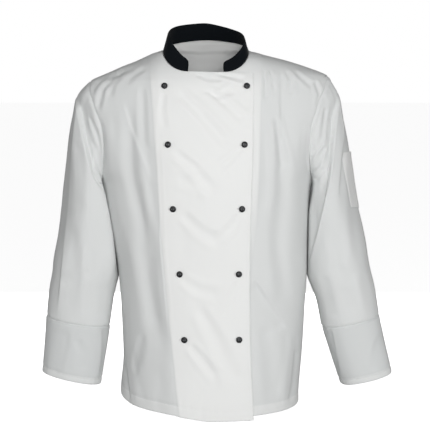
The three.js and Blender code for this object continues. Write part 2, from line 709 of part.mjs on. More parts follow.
const sleeves = { right: sleevePlaces("right"), left: sleevePlaces("left") };
const cuffs = {};
for (const name of ["right", "left"]) {
  const sleeve = sleeves[name];
  const armholeRing = sleeve[sleeve.length - 1];
  armholePlaces(name).forEach((place, k) => {
    const shared = place.seam ?? place.normal;
    const seam = shared.clone().add(armholeRing[k].normal).normalize();
    place.seam = seam;
    armholeRing[k].seam = seam;
  });
  // Body and sleeve stand apart across the armhole's edge, square to the shared direction
  const count = armholeRing.length;
  armholePlaces(name).forEach((place, k) => {
    const before = armholeRing[(k + count - 1) % count].point;
    const run = armholeRing[(k + 1) % count].point.clone().sub(before);
    const across = run.cross(place.seam).normalize();
    const towardsArm = Math.sign(across.dot(sleeve[sleeve.length - 2][k].point.clone().sub(place.point)));
    place.apart = across.clone().multiplyScalar((-towardsArm * SEAM_GAP) / 2);
    armholeRing[k].apart = across.multiplyScalar((towardsArm * ARMHOLE_GAP) / 2);
  });
  for (const corner of [ARMPIT_ROW, SHOULDER_ROW]) {
    const pair = [fronts[name][corner][outerColumn[name]], back[corner][backColumn[name]]];
    const ringPlace = armholeRing[corner === ARMPIT_ROW ? 0 : ARM_STEPS];
    const known = pair.find((place) => place.apart);
    for (const place of pair) {
      place.seam = ringPlace.seam;
      place.apart = known.apart;
    }
  }
  const cuffPoints = cuffRings(name, armholeRing.length).reverse();
  cuffs[name] = cuffPoints.map((ring, j) =>
    ring.map((point) => ({ point, thick: CLOTH + (j < 2 ? TURNED_CLOTH : 0) })),
  );
  sleeve[0].forEach((place, k) => {
    place.seam = place.normal;
    cuffs[name][cuffPoints.length - 1][k].seam = place.normal;
  });
}

// The neckline from the collar's left end round the back to its right end
const necklinePlaces = [
  ...fronts.left[NECK_ROW].slice(-COLLAR_END_COLUMN - 1),
  ...back[NECK_ROW].slice(1, -1),
  ...fronts.right[NECK_ROW].slice(0, COLLAR_END_COLUMN + 1),
];
const collarPoints = collarRows(necklinePlaces.map((place) => place.point));
const collar = collarPoints.map((row) => row.map((point) => ({ point, thick: COLLAR_CLOTH })));
necklinePlaces.forEach((place, i) => {
  const upright = gridNormal(collarPoints, 0, i, false);
  const seam = (place.seam ?? place.normal).clone().add(upright).normalize();
  place.seam = seam;
  collar[0][i].seam = seam;
});
for (const name of ["right", "left"]) {
  back[NECK_ROW][backColumn[name]].seam = fronts[name][NECK_ROW][outerColumn[name]].seam;
}

// Which neighbour an edge point of a front stands back towards, where the edge is a seam
function frontInside(name) {
  const outer = outerColumn[name];
  const next = name === "right" ? 1 : outer - 1;
  return (j, i) => {
    if (i === outer) return besideArmhole(j) ? null : [Math.min(j, NECK_ROW - 1), next];
    if (j === NECK_ROW && Math.abs(i - outer) <= COLLAR_END_COLUMN) return [j - 1, i];
    return null;
  };
}

function backInside(j, i) {
  const last = back[0].length - 1;
  if (i === 0 || i === last) {
    return besideArmhole(j) ? null : [Math.min(j, NECK_ROW - 1), i === 0 ? 1 : last - 1];
  }
  return j === NECK_ROW ? [j - 1, i] : null;
}

function ringInside(rows, bottomSeam, topSeam) {
  const top = rows.length - 1;
  return (j, k) => {
    if (j === 0 && bottomSeam) return [1, k];
    return j === top && topSeam ? [top - 1, k] : null;
  };
}

// The pen pocket lies on the sleeve's own points, moved out
function pocketPlaces() {
  const sleeve = sleeves.left;
  const rows = sleeve.length - 1 - CAP_STEPS;
  const places = [];
  for (let j = rows + POCKET_BOTTOM_STEP; j <= rows + POCKET_TOP_STEP; j += 1) {
    const row = [];
    for (let k = POCKET_FIRST_COLUMN; k <= POCKET_LAST_COLUMN; k += 1) {
      const { point, normal } = sleeve[j][k];
      const moved = point.clone().addScaledVector(normal, POCKET_OFF + POCKET_CLOTH);
      row.push({ point: moved, seam: normal, thick: POCKET_CLOTH });
    }
    places.push(row);
  }
  return places;
}

const jacket = new THREE.Group();
jacket.name = "chef_jacket";
for (const name of ["right", "left"]) {
  const front = fronts[name];
  const sleeve = sleeves[name];
  const cuff = cuffs[name];
  jacket.add(clothPiece(`front_${name}`, whiteCloth, front, false, frontInside(name)));
  jacket.add(clothPiece(`sleeve_${name}`, whiteCloth, sleeve, true, ringInside(sleeve, true, false)));
  jacket.add(clothPiece(`cuff_${name}`, whiteCloth, cuff, true, ringInside(cuff, false, true)));
}
jacket.add(clothPiece("back", whiteCloth, back, false, backInside));
jacket.add(clothPiece("collar", blackCloth, collar, false, (j, i) => (j === 0 ? [1, i] : null)));
jacket.add(clothPiece("pen_pocket", whiteCloth, pocketPlaces(), false, () => null));
STUDS.forEach((row, i) => {
  for (const column of ["right", "left"]) {
    const { point, normal } = placeOnGrid(fronts.right, row[column], row.z);
    jacket.add(stud(`stud_${column}_${i + 1}`, point, normal));
  }
});

export default jacket;
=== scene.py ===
import math

import bpy
import numpy as np
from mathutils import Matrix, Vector


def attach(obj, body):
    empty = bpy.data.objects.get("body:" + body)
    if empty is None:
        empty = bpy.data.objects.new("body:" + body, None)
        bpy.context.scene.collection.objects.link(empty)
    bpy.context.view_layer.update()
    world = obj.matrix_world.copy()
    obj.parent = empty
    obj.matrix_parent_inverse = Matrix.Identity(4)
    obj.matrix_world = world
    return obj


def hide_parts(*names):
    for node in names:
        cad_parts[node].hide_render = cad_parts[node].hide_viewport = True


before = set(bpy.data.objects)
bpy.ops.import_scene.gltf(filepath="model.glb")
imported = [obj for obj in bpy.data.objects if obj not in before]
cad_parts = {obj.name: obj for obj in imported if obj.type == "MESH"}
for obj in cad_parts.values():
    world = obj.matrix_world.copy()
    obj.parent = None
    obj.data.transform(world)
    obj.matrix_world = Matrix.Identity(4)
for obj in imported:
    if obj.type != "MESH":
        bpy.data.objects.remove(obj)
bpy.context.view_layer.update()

MM = 0.001
SHELL = 1.1  # one layer of cloth
DOUBLED = 2.3  # a turned hem or a front with its facing
COLLAR_SHELL = 2.4
SEAM_SINK = 0.9  # how deep the cloth sinks along a seam
SEAM_REACH = 3.2
TONE_SINGLE = 0.5  # how white the cloth looks: one layer, a cuff, a turned hem, a doubled front
TONE_CUFF = 0.32
TONE_HEM = 0.72
TONE_DOUBLED = 1.0
TONE_UNDER = 0.84  # the left front, and its lower part, painted darker as the lap's painted shadow
TONE_UNDER_PAINTED_SHADOW = 0.25
# Painted shade on the doubled fronts' shoulder tops
TONE_SHOULDER_PAINTED_SHADE = 0.58
TONE_CUFF_HEM = 0.58
EDGE_ROUND = 0.45  # how far a free edge rolls in, as a share of its thickness
THREAD = 0.3  # half its width
STITCH = 2.3  # a stitch's length
STITCH_PITCH = 3.1
NOISE_SIZE = 64  # how many places the noise has before it repeats
TINY = 1e-9
SEEDS = {"front": 11, "back": 37, "sleeve_right": 53, "sleeve_left": 67, "cuff_right": 79,
         "cuff_left": 83, "collar": 91, "pen_pocket": 97}

# Seams and sewn lines: how deep the cloth sinks, and how far beside the line
ARM_SEAM = (1.7, 2.2)
NECK_SEAM = (1.0, 2.6)
HEM_LINE = (0.55, 2.4)
CUFF_LINE = (1.3, 1.9)
EDGE_LINE = (0.3, 2.2)

# Soft unevenness in layers: width, height, depth
SIDE_UNEVEN = 0.35  # how much of it the body's sides have
BODY_UNEVEN = [(46, 120, 1.3), (21, 48, 0.45), (9, 17, 0.12)]
SLEEVE_UNEVEN = [(30, 150, 1.0), (15, 80, 0.4), (7, 15, 0.1)]

HEM_DEEP = 22
HEM_CENTRE_BACK = -712
ARMPIT = -265
ARMPIT_CENTRE_FRONT = -290
ARMPIT_CENTRE_BACK = -285
SHOULDER_CENTRE_FRONT = -103
SHOULDER_CENTRE_BACK = -36
ARMHOLE_REACH = {"front": 72, "back": 78}
NECK_HALF = 87
NECK_BACK_RISE = 20
COLLAR_FRONT_DROP = 45
COLLAR_END_HALF = 35
LAP_TOP_DROP = 48.5
UNDER_TOP_DROP = 53
UNDER_HEM_TUCK = 9
LAP_LIFT = 4.4
COLLAR_TALL = 38
COLLAR_TALL_LEFT = 27.5
COLLAR_CORNER = 8
COLLAR_TAPER = 36  # how far from its ends the stand collar gets lower
COLLAR_STEP = 2.2  # how far apart the collar's columns are
COLLAR_LINE = 5  # its sewn line, below its top edge
COLLAR_SMOOTHINGS = 60
COLLAR_MIDDLE_ROW = 10
COLLAR_LEAN = {"front": 30, "side": 15, "back": 26}
CUFF_HEM_DEEP = 13
CUFF_SEAM = -553
CAP_END = -330
POCKET_TOP = -207
POCKET_BOTTOM = -324
POCKET_HEM = 11
POCKET_STARTS = (8.8, 7.9)  # where its front side is at the bottom and at the top, in arm points
POCKET_TURN = 3  # how far it reaches round the sleeve, in arm points
POCKET_SLANT = 0.13  # how much lower its rows lie for each millimetre further back

# The wall's rows, counted as steps from the hem: hem band, side, armhole, shoulder
ARMPIT_ROW = 9
SHOULDER_ROW = 19
NECK_ROW = 24
COLLAR_END_COLUMN = 12
FACING_COLUMN = 8
FREE_EDGE_COLUMN = 19
SIDE_SHARES = [0, 0.14, 0.28, 0.42, 0.56, 0.7, 0.84, 0.965, 1]
BACK_HALF_STEPS = 8
ARM_POINTS = 20

# Level sections: height, reach to the right and left, depth in front and behind, squareness
BODY = np.array([
    (-740, 179, 191, 138, 126, 2.25), (-690, 177, 192, 136, 125, 2.25),
    (-625, 171, 197, 133, 122, 2.25), (-525, 175, 203, 131, 117, 2.25),
    (-450, 181, 207, 131, 115, 2.25), (-373, 196, 208, 133, 120, 2.2),
    (-308, 209, 210, 136, 128, 2.15), (-265, 214, 216, 136, 133, 2.1),
    (-215, 228, 230, 132, 136, 2.1), (-183, 241, 243, 127, 136, 2.1),
    (-148, 254, 257, 120, 133, 2.1), (-118, 263, 267, 113, 128, 2.1),
    (-94, 259, 268, 106, 121, 2.1), (-63, 233, 256, 97, 112, 2.1),
    (-52, 211, 246, 93, 109, 2.1), (-34, 170, 202, 87, 103, 2.05),
    (-22, 140, 164, 83, 98, 2), (-10, 113, 117, 78, 92, 2),
    (0, 87, 87, 73, 86, 2), (20, 82, 82, 70, 74, 2),
], float)

# Lines down the front: height, lap's free edge, under edge, right and left facing's edge
FRONT_LINES = np.array([
    (-731, 94, -66, -52, 84), (-571, 87, -63, -68, 86), (-440, 86, -72, -80, 91),
    (-311, 88, -81, -90, 101), (-186, 92, -88, -99, 106), (-45, 93, -90, -109, 109),
], float)

SIDES = {
    "right": dict(sign=-1, shoulder=-63, hem=-700, centre_hem=-735, swing=1.0),
    "left": dict(sign=1, shoulder=-52, hem=-722, centre_hem=-730, swing=0.6),
}

# Sections square to the arm: height, x, y, half-width, half-depth, tilt and turn in degrees
SLEEVES = {
    "right": np.array([
        (-670, -277, -24, 61.5, 44, 12.5, 0), (-600, -268, -18, 64, 50, 10.5, 0),
        (-553, -263, -13, 66, 57, 9.7, 0), (-500, -257, -7, 67, 66, 7, 4),
        (-450, -249.75, -2, 68.3, 74, 6, 10), (-380, -249.75, 4, 52, 82, 5, 15),
        (-330, -250.5, 6, 40.5, 86, 4, 16),
    ], float),
    "left": np.array([
        (-671, 329, -24, 54, 46, 13.5, 0), (-600, 309, -18, 58, 52, 13, 0),
        (-553, 296.5, -13, 60, 58, 12.6, 0), (-500, 286.5, -7, 61, 66, 12, 4),
        (-450, 273.5, -2, 64.8, 74, 10, 9), (-380, 267.5, 4, 57, 80, 8, 15),
        (-330, 263, 6, 50, 86, 6, 16),
    ], float),
}

# Stud places on the lap: height, x in the right column, x in the left column
STUDS = [(-73, -80.5, 80), (-186, -73.4, 75.3), (-311, -63.6, 70.4),
         (-440, -51.1, 64.6), (-571, -42.2, 65.4)]

# Creases: half-width, depth (below zero it stands out), side, bank, and then the
# places (x, z) seen from the front that the crease runs through. With side 0 it is a
# trough, and its raised banks are as high as bank times its depth. With side -1 or 1 it is
# a step with its lower side towards -x or +x, which rises again within bank half-widths.
FRONT_FOLDS = [
    (14, 4.8, 0, 0.3, (-158, -108), (-148, -200), (-135, -300), (-117, -400), (-107, -500), (-100, -600)),
    (7, 2.4, 1, 3, (-164, -100), (-154, -150), (-118, -232), (-112, -262)),
    (17, -4.2, 0, 0, (-200, -120), (-192, -200), (-178, -290), (-162, -380), (-150, -480)),
    (12, -1.6, 0, 0.2, (-150, -380), (-140, -460), (-130, -560)),
    (7, 2.2, 0, 0.4, (-128, -70), (-124, -130), (-120, -200)),
    (9, -1.6, 0, 0.2, (-118, -250), (-116, -330), (-110, -420)),
    (6, 1.7, 0, 0.3, (-118, -38), (-142, -50), (-158, -68)),
    (6, 1.8, 0, 0.3, (-136, -33), (-166, -48), (-184, -68), (-192, -98)),
    (5.5, 3.0, 0, 0.3, (-156, -36), (-184, -54), (-204, -80), (-217, -124)),
    (5.5, 1.9, 0, 0.3, (-178, -44), (-208, -62), (-230, -88)),
    (2.6, 0.7, 0, 0.6, (-92, -104), (-90, -190), (-84, -380), (-70, -560)),
    (6, 2.8, -1, 2, (-232, -112), (-216, -136), (-204, -168)),
    (9, -3.4, 0, 0.2, (-161, -602), (-150, -660), (-142, -716)),
    (5, 4.2, -1, 2.4, (-166, -596), (-158, -656), (-150, -716)),
    (10, 2.2, 0, 0.4, (-128, -560), (-140, -620), (-158, -668)),
    (7, 3.0, 1, 2.6, (141, -36), (143, -90), (147, -190)),
    (8, 3.4, 0, 0.5, (140, -130), (150, -196), (156, -240)),
    (14, 4.6, 0, 0.3, (152, -150), (147, -300), (147, -400), (154, -520)),
    (13, -3.2, 0, 0, (180, -150), (184, -300), (180, -420)),
    (9, 3.4, -1, 2.6, (98, -450), (130, -500), (164, -556)),
    (14, 3.0, 0, 0.4, (108, -540), (130, -610), (138, -700)),
    (8, -3.0, 0, 0.2, (172, -560), (162, -640), (158, -716)),
    (7, 2.4, 0, 0.3, (184, -600), (178, -660), (172, -716)),
    (4.5, 2.2, 0, 0.6, (115, -40), (117, -66), (118, -100)),
    (4, 1.6, 0, 0.6, (126, -40), (132, -58), (134, -84)),
    (5, 2.4, 0, 0.6, (160, -40), (170, -62), (168, -92)),
    (5, 1.8, 0, 0.5, (176, -42), (192, -58), (214, -76)),
    (5, 2.0, 0, 0.5, (214, -60), (226, -90), (224, -120)),
    (9, 2.4, 0, 0.3, (214, -150), (208, -210), (204, -270)),
    (9, 1.8, 0, 0.4, (120, -130), (116, -220), (112, -330)),
    # On the doubled fronts
    (9, 2.6, 0, 0.6, (-54, -84), (-8, -128), (46, -192)),
    (7, 2.4, 0, 0.6, (8, -86), (40, -108), (76, -142)),
    (9, 2.4, 0, 0.6, (-66, -196), (-24, -230), (18, -286)),
    (9, 1.6, 0, 0.6, (-48, -316), (-10, -352), (34, -380)),
    (12, 2.6, 0, 0.6, (-22, -498), (18, -566), (70, -668)),
    (8, 1.8, 0, 0.6, (-34, -578), (0, -618), (28, -650)),
    (4.5, 2.2, 0, 0.7, (18, -48), (44, -54), (78, -62)),
    (5, 1.6, 0, 0.6, (-20, -50), (8, -60), (34, -58)),
    (6, 1.6, 0, 0.6, (-6, -80), (24, -92), (56, -80)),
    (6, 1.4, 0, 0.6, (72, -188), (50, -214), (22, -236)),
    (11, 1.4, 0, 0.5, (-60, -250), (-20, -262), (34, -254)),
    (7, 1.4, 0, 0.6, (66, -320), (44, -350), (20, -368)),
    (9, 1.4, 0, 0.6, (-48, -446), (-14, -470), (30, -482)),
    (7, 1.3, 0, 0.5, (62, -450), (46, -490), (38, -530)),
    (6, 1.4, 0, 0.5, (-80, -84), (-84, -120), (-80, -160)),
]
BACK_FOLDS = [
    (14, 5.5, -1, 3, (-134, -120), (-118, -240), (-96, -400)),
    (14, 5.2, 1, 3, (126, -140), (112, -260), (98, -450)),
    (19, 4.6, 0, 0.4, (-18, -320), (-30, -480), (-36, -690)),
    (15, 4.2, 0, 0.4, (58, -470), (66, -600), (76, -700)),
    (14, 4.2, 0, 0.4, (-108, -510), (-118, -600), (-124, -695)),
    (8, 3.0, 0, 0.5, (-186, -130), (-150, -176), (-110, -205)),
    (8, 3.0, 0, 0.5, (196, -150), (154, -190), (112, -216)),
    (8, 1.6, 0, 0.5, (-60, -60), (-72, -120), (-66, -190)),
    (8, 1.5, 0, 0.5, (46, -52), (58, -110), (60, -170)),
    (4, 0.3, 0, 0.6, (-52, 0), (-8, -5), (30, -1)),
    (6, 0.25, 0, 0.6, (-24, -22), (14, -18), (50, -24)),
    (8, 0.7, 0, 0.5, (-34, -62), (4, -70), (44, -58)),
    (12, 3.2, 0, 0.4, (150, -520), (158, -600), (150, -690)),
    (12, 1.4, 0, 0.5, (-60, -250), (-10, -264), (50, -246)),
    (12, 2.0, 0, 0.5, (20, -430), (40, -500), (96, -560)),
]
SLEEVE_FRONT_FOLDS = [
    # The right sleeve's long inner edge, its outer edge, and what hangs beside them
    (3.4, 10, 1, 6, (-266, -82), (-259, -112), (-243, -176), (-228, -232), (-210, -290), (-197, -360)),
    (2.5, 4.6, 0, 0.1, (-262, -100), (-243, -176), (-228, -232), (-210, -290), (-199, -350)),
    (5, 4.6, -1, 5, (-260, -96), (-268, -184), (-273, -292), (-286, -400), (-302, -540)),
    (5, 2.8, 0, 0.6, (-234, -128), (-216, -172), (-209, -214)),
    (5, 2.4, 0, 0.6, (-226, -178), (-213, -222), (-206, -262)),
    (10, 1.8, 0, 0.4, (-256, -180), (-252, -260), (-250, -330)),
    (14, 2.0, 0, 0.4, (-262, -340), (-268, -430), (-272, -540)),
    (10, 1.8, 0, 0.4, (-226, -380), (-232, -450), (-240, -540)),
    (10, 1.4, 0, 0.3, (-208, -440), (-212, -490), (-216, -545)),
    (12, 1.4, 0, 0.4, (-230, -440), (-262, -462), (-296, -466)),
    (6, 3.2, 1, 2.5, (-213, -552), (-216, -610), (-221, -668)),
    (14, 2.0, -1, 2, (-272, -562), (-279, -610), (-288, -668)),
    (10, 1.5, 0, 0.4, (-262, -580), (-250, -612), (-252, -650)),
    # The left sleeve's
    (3.4, 9.5, -1, 6, (267, -84), (265, -122), (259, -165), (248, -244), (236, -300), (223, -371),
     (209, -440)),
    (2.5, 4.6, 0, 0.1, (266, -100), (257, -165), (246, -244), (234, -300), (221, -371), (209, -430)),
    (5, 8, -1, 6, (246, -256), (236, -300), (223, -371), (207, -452)),
    (5, 3.0, 1, 2.4, (276, -110), (279, -176), (270, -250), (262, -300)),
    (5, 2.4, 0, 0.6, (240, -110), (232, -160), (226, -200)),
    (5, 2.8, 0, 0.6, (238, -190), (226, -214), (218, -236)),
    (5, 2.6, 0, 0.6, (234, -236), (222, -252), (214, -262)),
    (10, 1.8, 0, 0.4, (290, -220), (300, -320), (312, -430)),
    (13, 2.0, 0, 0.4, (258, -360), (272, -450), (286, -540)),
    (10, -1.6, 0, 0.3, (304, -440), (312, -490), (318, -545)),
    (10, 1.4, 0, 0.3, (240, -450), (248, -490), (258, -545)),
    (12, 1.3, 0, 0.4, (250, -430), (280, -452), (312, -452)),
    (6, 2.6, -1, 2.5, (254, -556), (264, -610), (278, -668)),
    (14, 2.2, 1, 2, (352, -566), (336, -600), (322, -650)),
]
SLEEVE_BACK_FOLDS = [
    (7, 4.0, 1, 2.6, (-262, -112), (-248, -200), (-226, -300)),
    (11, 2.6, 0, 0.4, (-268, -240), (-274, -340), (-286, -460)),
    (10, 2.6, 0, 0.5, (-226, -340), (-262, -366), (-292, -400)),
    (11, 2.4, 0, 0.5, (-220, -430), (-256, -448), (-300, -456)),
    (10, 1.8, 0, 0.4, (-236, -480), (-244, -560), (-252, -650)),
    (7, 4.0, -1, 2.6, (266, -108), (258, -200), (240, -300)),
    (11, 2.6, 0, 0.4, (288, -240), (296, -340), (312, -450)),
    (10, 2.6, 0, 0.5, (240, -330), (276, -358), (306, -388)),
    (11, 2.4, 0, 0.5, (244, -420), (284, -440), (326, -448)),
    (10, 1.8, 0, 0.4, (286, -480), (298, -560), (312, -650)),
]


def mix(a, b, share):
    return a + (b - a) * share


def ease(value):
    t = np.clip(value, 0, 1)
    return t * t * (3 - 2 * t)


def between(value, low, high):
    """The share of the way from low to high, from 0 to 1."""
    return np.clip((value - low) / (high - low), 0, 1)


def bell(value, wide):
    """1 where the value is 0, and soon 0 past its width."""
    return np.exp(-((value / wide) ** 2))


def lengths_along(path):
    """The length reached at each place of a path."""
    steps = np.linalg.norm(np.diff(path, axis=0), axis=1)
    return np.concatenate([[0], np.cumsum(steps)])


def places_along(path, lengths, where):
    return np.stack([np.interp(where, lengths, path[:, k]) for k in range(3)], -1)


def curve(table, column):
    """A smooth curve through one column of a table, level at its peaks."""
    order = table[np.argsort(table[:, 0])]
    heights, values = order[:, 0], order[:, column]
    steps = np.diff(values) / np.diff(heights)
    before = np.concatenate([steps[:1], steps])
    after = np.concatenate([steps, steps[-1:]])
    product = before * after
    total = np.where(before + after == 0, 1, before + after)
    slopes = np.where(product <= 0, 0, 2 * product / total)

    def at(z):
        z = np.clip(z, heights[0], heights[-1])
        i = np.clip(np.searchsorted(heights, z) - 1, 0, len(heights) - 2)
        span = heights[i + 1] - heights[i]
        t = (z - heights[i]) / span
        leave = t * (1 - t) ** 2 * span * slopes[i]
        arrive = t * t * (t - 1) * span * slopes[i + 1]
        return mix(values[i], values[i + 1], ease(t)) + leave + arrive

    return at


def curves(table, *names):
    return {name: curve(table, i) for i, name in enumerate(names, 1)}


body = curves(BODY, "right", "left", "front", "back", "square")
lines = curves(FRONT_LINES, "lap_edge", "under_edge", "right_facing", "left_facing")
arms = {side: curves(table, "x", "y", "half", "deep", "tilt", "turned_in") for side, table in SLEEVES.items()}


def swelled(value, square):
    return np.sign(value) * np.abs(value) ** (2 / square)


def body_point(z, angle):
    """The body's surface; the angle is 0 at the centre front and 90 at the left side."""
    square = body["square"](z)
    sine = swelled(np.sin(np.radians(angle)), square)
    cosine = swelled(np.cos(np.radians(angle)), square)
    reach = np.where(sine > 0, body["left"](z), body["right"](z))
    depth = np.where(cosine > 0, body["front"](z), body["back"](z))
    return np.stack([reach * sine, -depth * cosine, z + 0 * angle], -1)


def front_angle(z, x):
    reach = np.where(x > 0, body["left"](z), body["right"](z))
    share = np.minimum(np.abs(x) / reach, 1) ** (body["square"](z) / 2)
    return np.sign(x) * np.degrees(np.arcsin(share))


def unit(vectors):
    return vectors / np.maximum(np.linalg.norm(vectors, axis=-1, keepdims=True), 1e-12)


def body_normal(z, angle):
    around = body_point(z, angle + 0.5) - body_point(z, angle - 0.5)
    upward = body_point(z + 1, angle) - body_point(z - 1, angle)
    return unit(np.cross(around, upward))


def grid_normals(points, closed):
    """Outward directions of a grid whose rows run up and columns counter-clockwise."""
    if closed:
        across = np.roll(points, -1, 1) - np.roll(points, 1, 1)
    else:
        across = np.gradient(points, axis=1)
    return unit(np.cross(across, np.gradient(points, axis=0)))


def smooth_noise(x, y, seed):
    """Soft seeded noise from -1 to 1 over the plane."""
    table = np.random.default_rng(seed).uniform(-1, 1, (NOISE_SIZE, NOISE_SIZE))
    i, j = np.floor(x).astype(int), np.floor(y).astype(int)
    u, v = ease(x - i), ease(y - j)
    i, j = i % NOISE_SIZE, j % NOISE_SIZE
    right, above = (i + 1) % NOISE_SIZE, (j + 1) % NOISE_SIZE
    return mix(mix(table[i, j], table[right, j], u), mix(table[i, above], table[right, above], u), v)


def fold_move(folds, x, z):
    """How far the creases move the places x, z outwards."""
    total = np.zeros_like(x)
    for number, (half, deep, side, bank, *run) in enumerate(folds):
        # A soft wander keeps a crease from running quite straight
        wandered = x + 0.25 * half * np.sin(z / 31 + x / 47 + number)
        run = np.array(run, float)
        lengths = np.linalg.norm(np.diff(run, axis=0), axis=1)
        reached = lengths_along(run)
        nearest = np.full(x.shape, 1e9)
        place, beside = np.zeros_like(x), np.zeros_like(x)
        for k, length in enumerate(lengths):
            step = run[k + 1] - run[k]
            dx, dz = wandered - run[k, 0], z - run[k, 1]
            share = np.clip((dx * step[0] + dz * step[1]) / length**2, 0, 1)
            away = np.hypot(dx - share * step[0], dz - share * step[1])
            closer = away < nearest
            nearest = np.where(closer, away, nearest)
            place = np.where(closer, (reached[k] + share * length) / reached[-1], place)
            beside = np.where(closer, dx - share * step[0], beside)
        # It is faint and narrow where it starts, and faint and wider where it ends
        fade = 0.06 + 0.94 * ease((1 - np.abs(2 * place - 1)) * 3.2)
        t = nearest / (half * mix(0.75, 1.15, place))
        if side:
            drop = ease(t) * bell(np.maximum(t - 1, 0), bank)
            form = np.where(np.sign(beside) == side, -drop, 0) + 0.14 * bell(t, 1)
            # Past its ends a step dies out all round
            form = form * np.where((place <= 0) | (place >= 1), bell(t, 1.5), 1)
        else:
            form = bank * bell(t - 1.75, 0.75) - bell(t, 1)
        total += deep * form * fade
    return total


def row_heights(hem, armpit, shoulder, neck, beside, r):
    """Heights of the rows; beside the armhole they close up at its top and bottom."""
    low = hem + HEM_DEEP + 3
    even = between(r, ARMPIT_ROW, SHOULDER_ROW)
    climb = (1 - np.cos(np.pi * even)) / 2 if beside else even
    z = np.where(r < 1, mix(hem, hem + HEM_DEEP, r), mix(hem + HEM_DEEP, low, r - 1))
    z = np.where(r >= 2, mix(low, armpit, (r - 2) / (ARMPIT_ROW - 2)), z)
    z = np.where(r >= ARMPIT_ROW, mix(armpit, shoulder, climb), z)
    return np.where(r >= SHOULDER_ROW, mix(shoulder, neck, between(r, SHOULDER_ROW, NECK_ROW)), z)


def outer_edge(side, face, r):
    """Heights and angles of the side seam and, above it, of the armhole."""
    z = row_heights(side["hem"], ARMPIT, side["shoulder"], 0, True, r)
    swing = np.abs(np.sin(np.pi * between(r, ARMPIT_ROW, SHOULDER_ROW)))
    share = (ARMHOLE_REACH[face] * swing / body[face](z)) ** (body["square"](z) / 2)
    return z, np.degrees(np.arccos(np.clip(share, -1, 1)))


def front_neckline(side, c):
    """Height and angle of the neckline at column c, from the shoulder to the collar's end."""
    turn = (np.pi / 2) * np.linspace(0, 1, 601) ** 2
    x = side["sign"] * mix(COLLAR_END_HALF, NECK_HALF, np.cos(turn))
    z = -COLLAR_FRONT_DROP * np.sin(turn)
    angle = front_angle(z, x)
    angle[0] = side["sign"] * 90
    reached = lengths_along(body_point(z, angle))
    wanted = (1 - (1 - np.clip(c / COLLAR_END_COLUMN, 0, 1)) ** 1.5) * reached[-1]
    return np.interp(wanted, reached, z), np.interp(wanted, reached, angle)


def front_grid(name, r, c):
    """Heights, angles and lift of one front's places."""
    side = SIDES[name]
    lapped = name == "right"
    edge_line = lines["lap_edge" if lapped else "under_edge"]
    facing_line = lines[name + "_facing"]
    drop_at_corner = LAP_TOP_DROP if lapped else UNDER_TOP_DROP
    rows, columns = np.meshgrid(r, c, indexing="ij")
    outer_z, outer_turn = outer_edge(side, "front", rows)
    inner_z = row_heights(side["centre_hem"], ARMPIT_CENTRE_FRONT, SHOULDER_CENTRE_FRONT,
                          -drop_at_corner, False, rows)
    top_z, top_angle = front_neckline(side, c)
    beyond = between(c, COLLAR_END_COLUMN, FREE_EDGE_COLUMN)
    flat_z = -mix(COLLAR_FRONT_DROP, drop_at_corner, beyond if lapped else ease(3 * beyond))
    flat_x = mix(side["sign"] * COLLAR_END_HALF, edge_line(flat_z), beyond)
    past = c > COLLAR_END_COLUMN
    top_z = np.where(past, flat_z, top_z)[None, :] + 0 * rows
    top_angle = np.where(past, front_angle(flat_z, flat_x), top_angle)[None, :] + 0 * rows
    to_neck = between(rows, SHOULDER_ROW, NECK_ROW)
    bend = mix(0.7, 1.7, between(rows, ARMPIT_ROW, SHOULDER_ROW))
    low_drop = np.minimum(columns / COLLAR_END_COLUMN, 1) ** bend
    drop = mix(low_drop, np.minimum(top_z / -drop_at_corner, 1), to_neck)
    tuck = UNDER_HEM_TUCK * ease((columns - COLLAR_END_COLUMN) / 6) * (1 - rows / NECK_ROW)
    z = mix(outer_z, inner_z, drop) + (0 if lapped else tuck)
    z = np.where(rows >= NECK_ROW, top_z, z)
    facing_x = facing_line(z)
    share = np.interp(c, np.arange(len(SIDE_SHARES)), SIDE_SHARES)[None, :] + 0 * rows
    side_angle = mix(side["sign"] * outer_turn, front_angle(z, facing_x), share)
    band_x = mix(facing_x, edge_line(z), (columns - FACING_COLUMN) / (FREE_EDGE_COLUMN - FACING_COLUMN))
    angle = np.where(columns <= FACING_COLUMN, side_angle, front_angle(z, band_x))
    mixed = mix(angle, top_angle, to_neck**2)
    top_x = body_point(top_z, top_angle)[..., 0]
    straight = front_angle(z, mix(body_point(z, angle)[..., 0], top_x, to_neck**2))
    angle = mix(mixed, straight, ease((columns - COLLAR_END_COLUMN) / 3))
    x = body_point(z, angle)[..., 0]
    over_under = ease((x - lines["under_edge"](z) + 32) / 30)
    lift = LAP_LIFT * over_under * ease(columns / 5) if lapped else 0 * x
    return z, angle, lift


def back_grid(r, c):
    """Heights and angles of the back; columns run from the wearer's left to the right."""
    rows, columns = np.meshgrid(r, c, indexing="ij")
    away = np.where(columns < 0, -1.0, 1.0)
    share = 1 - np.abs(columns) / BACK_HALF_STEPS
    left_z, left_turn = outer_edge(SIDES["left"], "back", rows)
    right_z, right_turn = outer_edge(SIDES["right"], "back", rows)
    outer_z = np.where(columns < 0, left_z, right_z)
    outer_turn = np.where(columns < 0, left_turn, right_turn)
    inner_z = row_heights(HEM_CENTRE_BACK, ARMPIT_CENTRE_BACK, SHOULDER_CENTRE_BACK,
                          NECK_BACK_RISE, False, rows)
    z = mix(outer_z, inner_z, np.sin(share * np.pi / 2))
    neck_x = NECK_HALF * np.cos(share * np.pi / 2)
    neck_turn = np.where(share <= 0, 90, np.abs(front_angle(z, -away * neck_x)))
    to_neck = between(rows, SHOULDER_ROW, NECK_ROW)
    turn = mix(outer_turn * (1 - share), neck_turn, to_neck**2)
    return z, 180 + away * turn


def spread(painted_highlights, counts):
    """Places between whole marks, each stretch cut into its own number of steps."""
    parts = [np.linspace(a, b, n, endpoint=False) for a, b, n in zip(painted_highlights[:-1], painted_highlights[1:], counts)]
    return np.concatenate(parts + [[painted_highlights[-1]]])


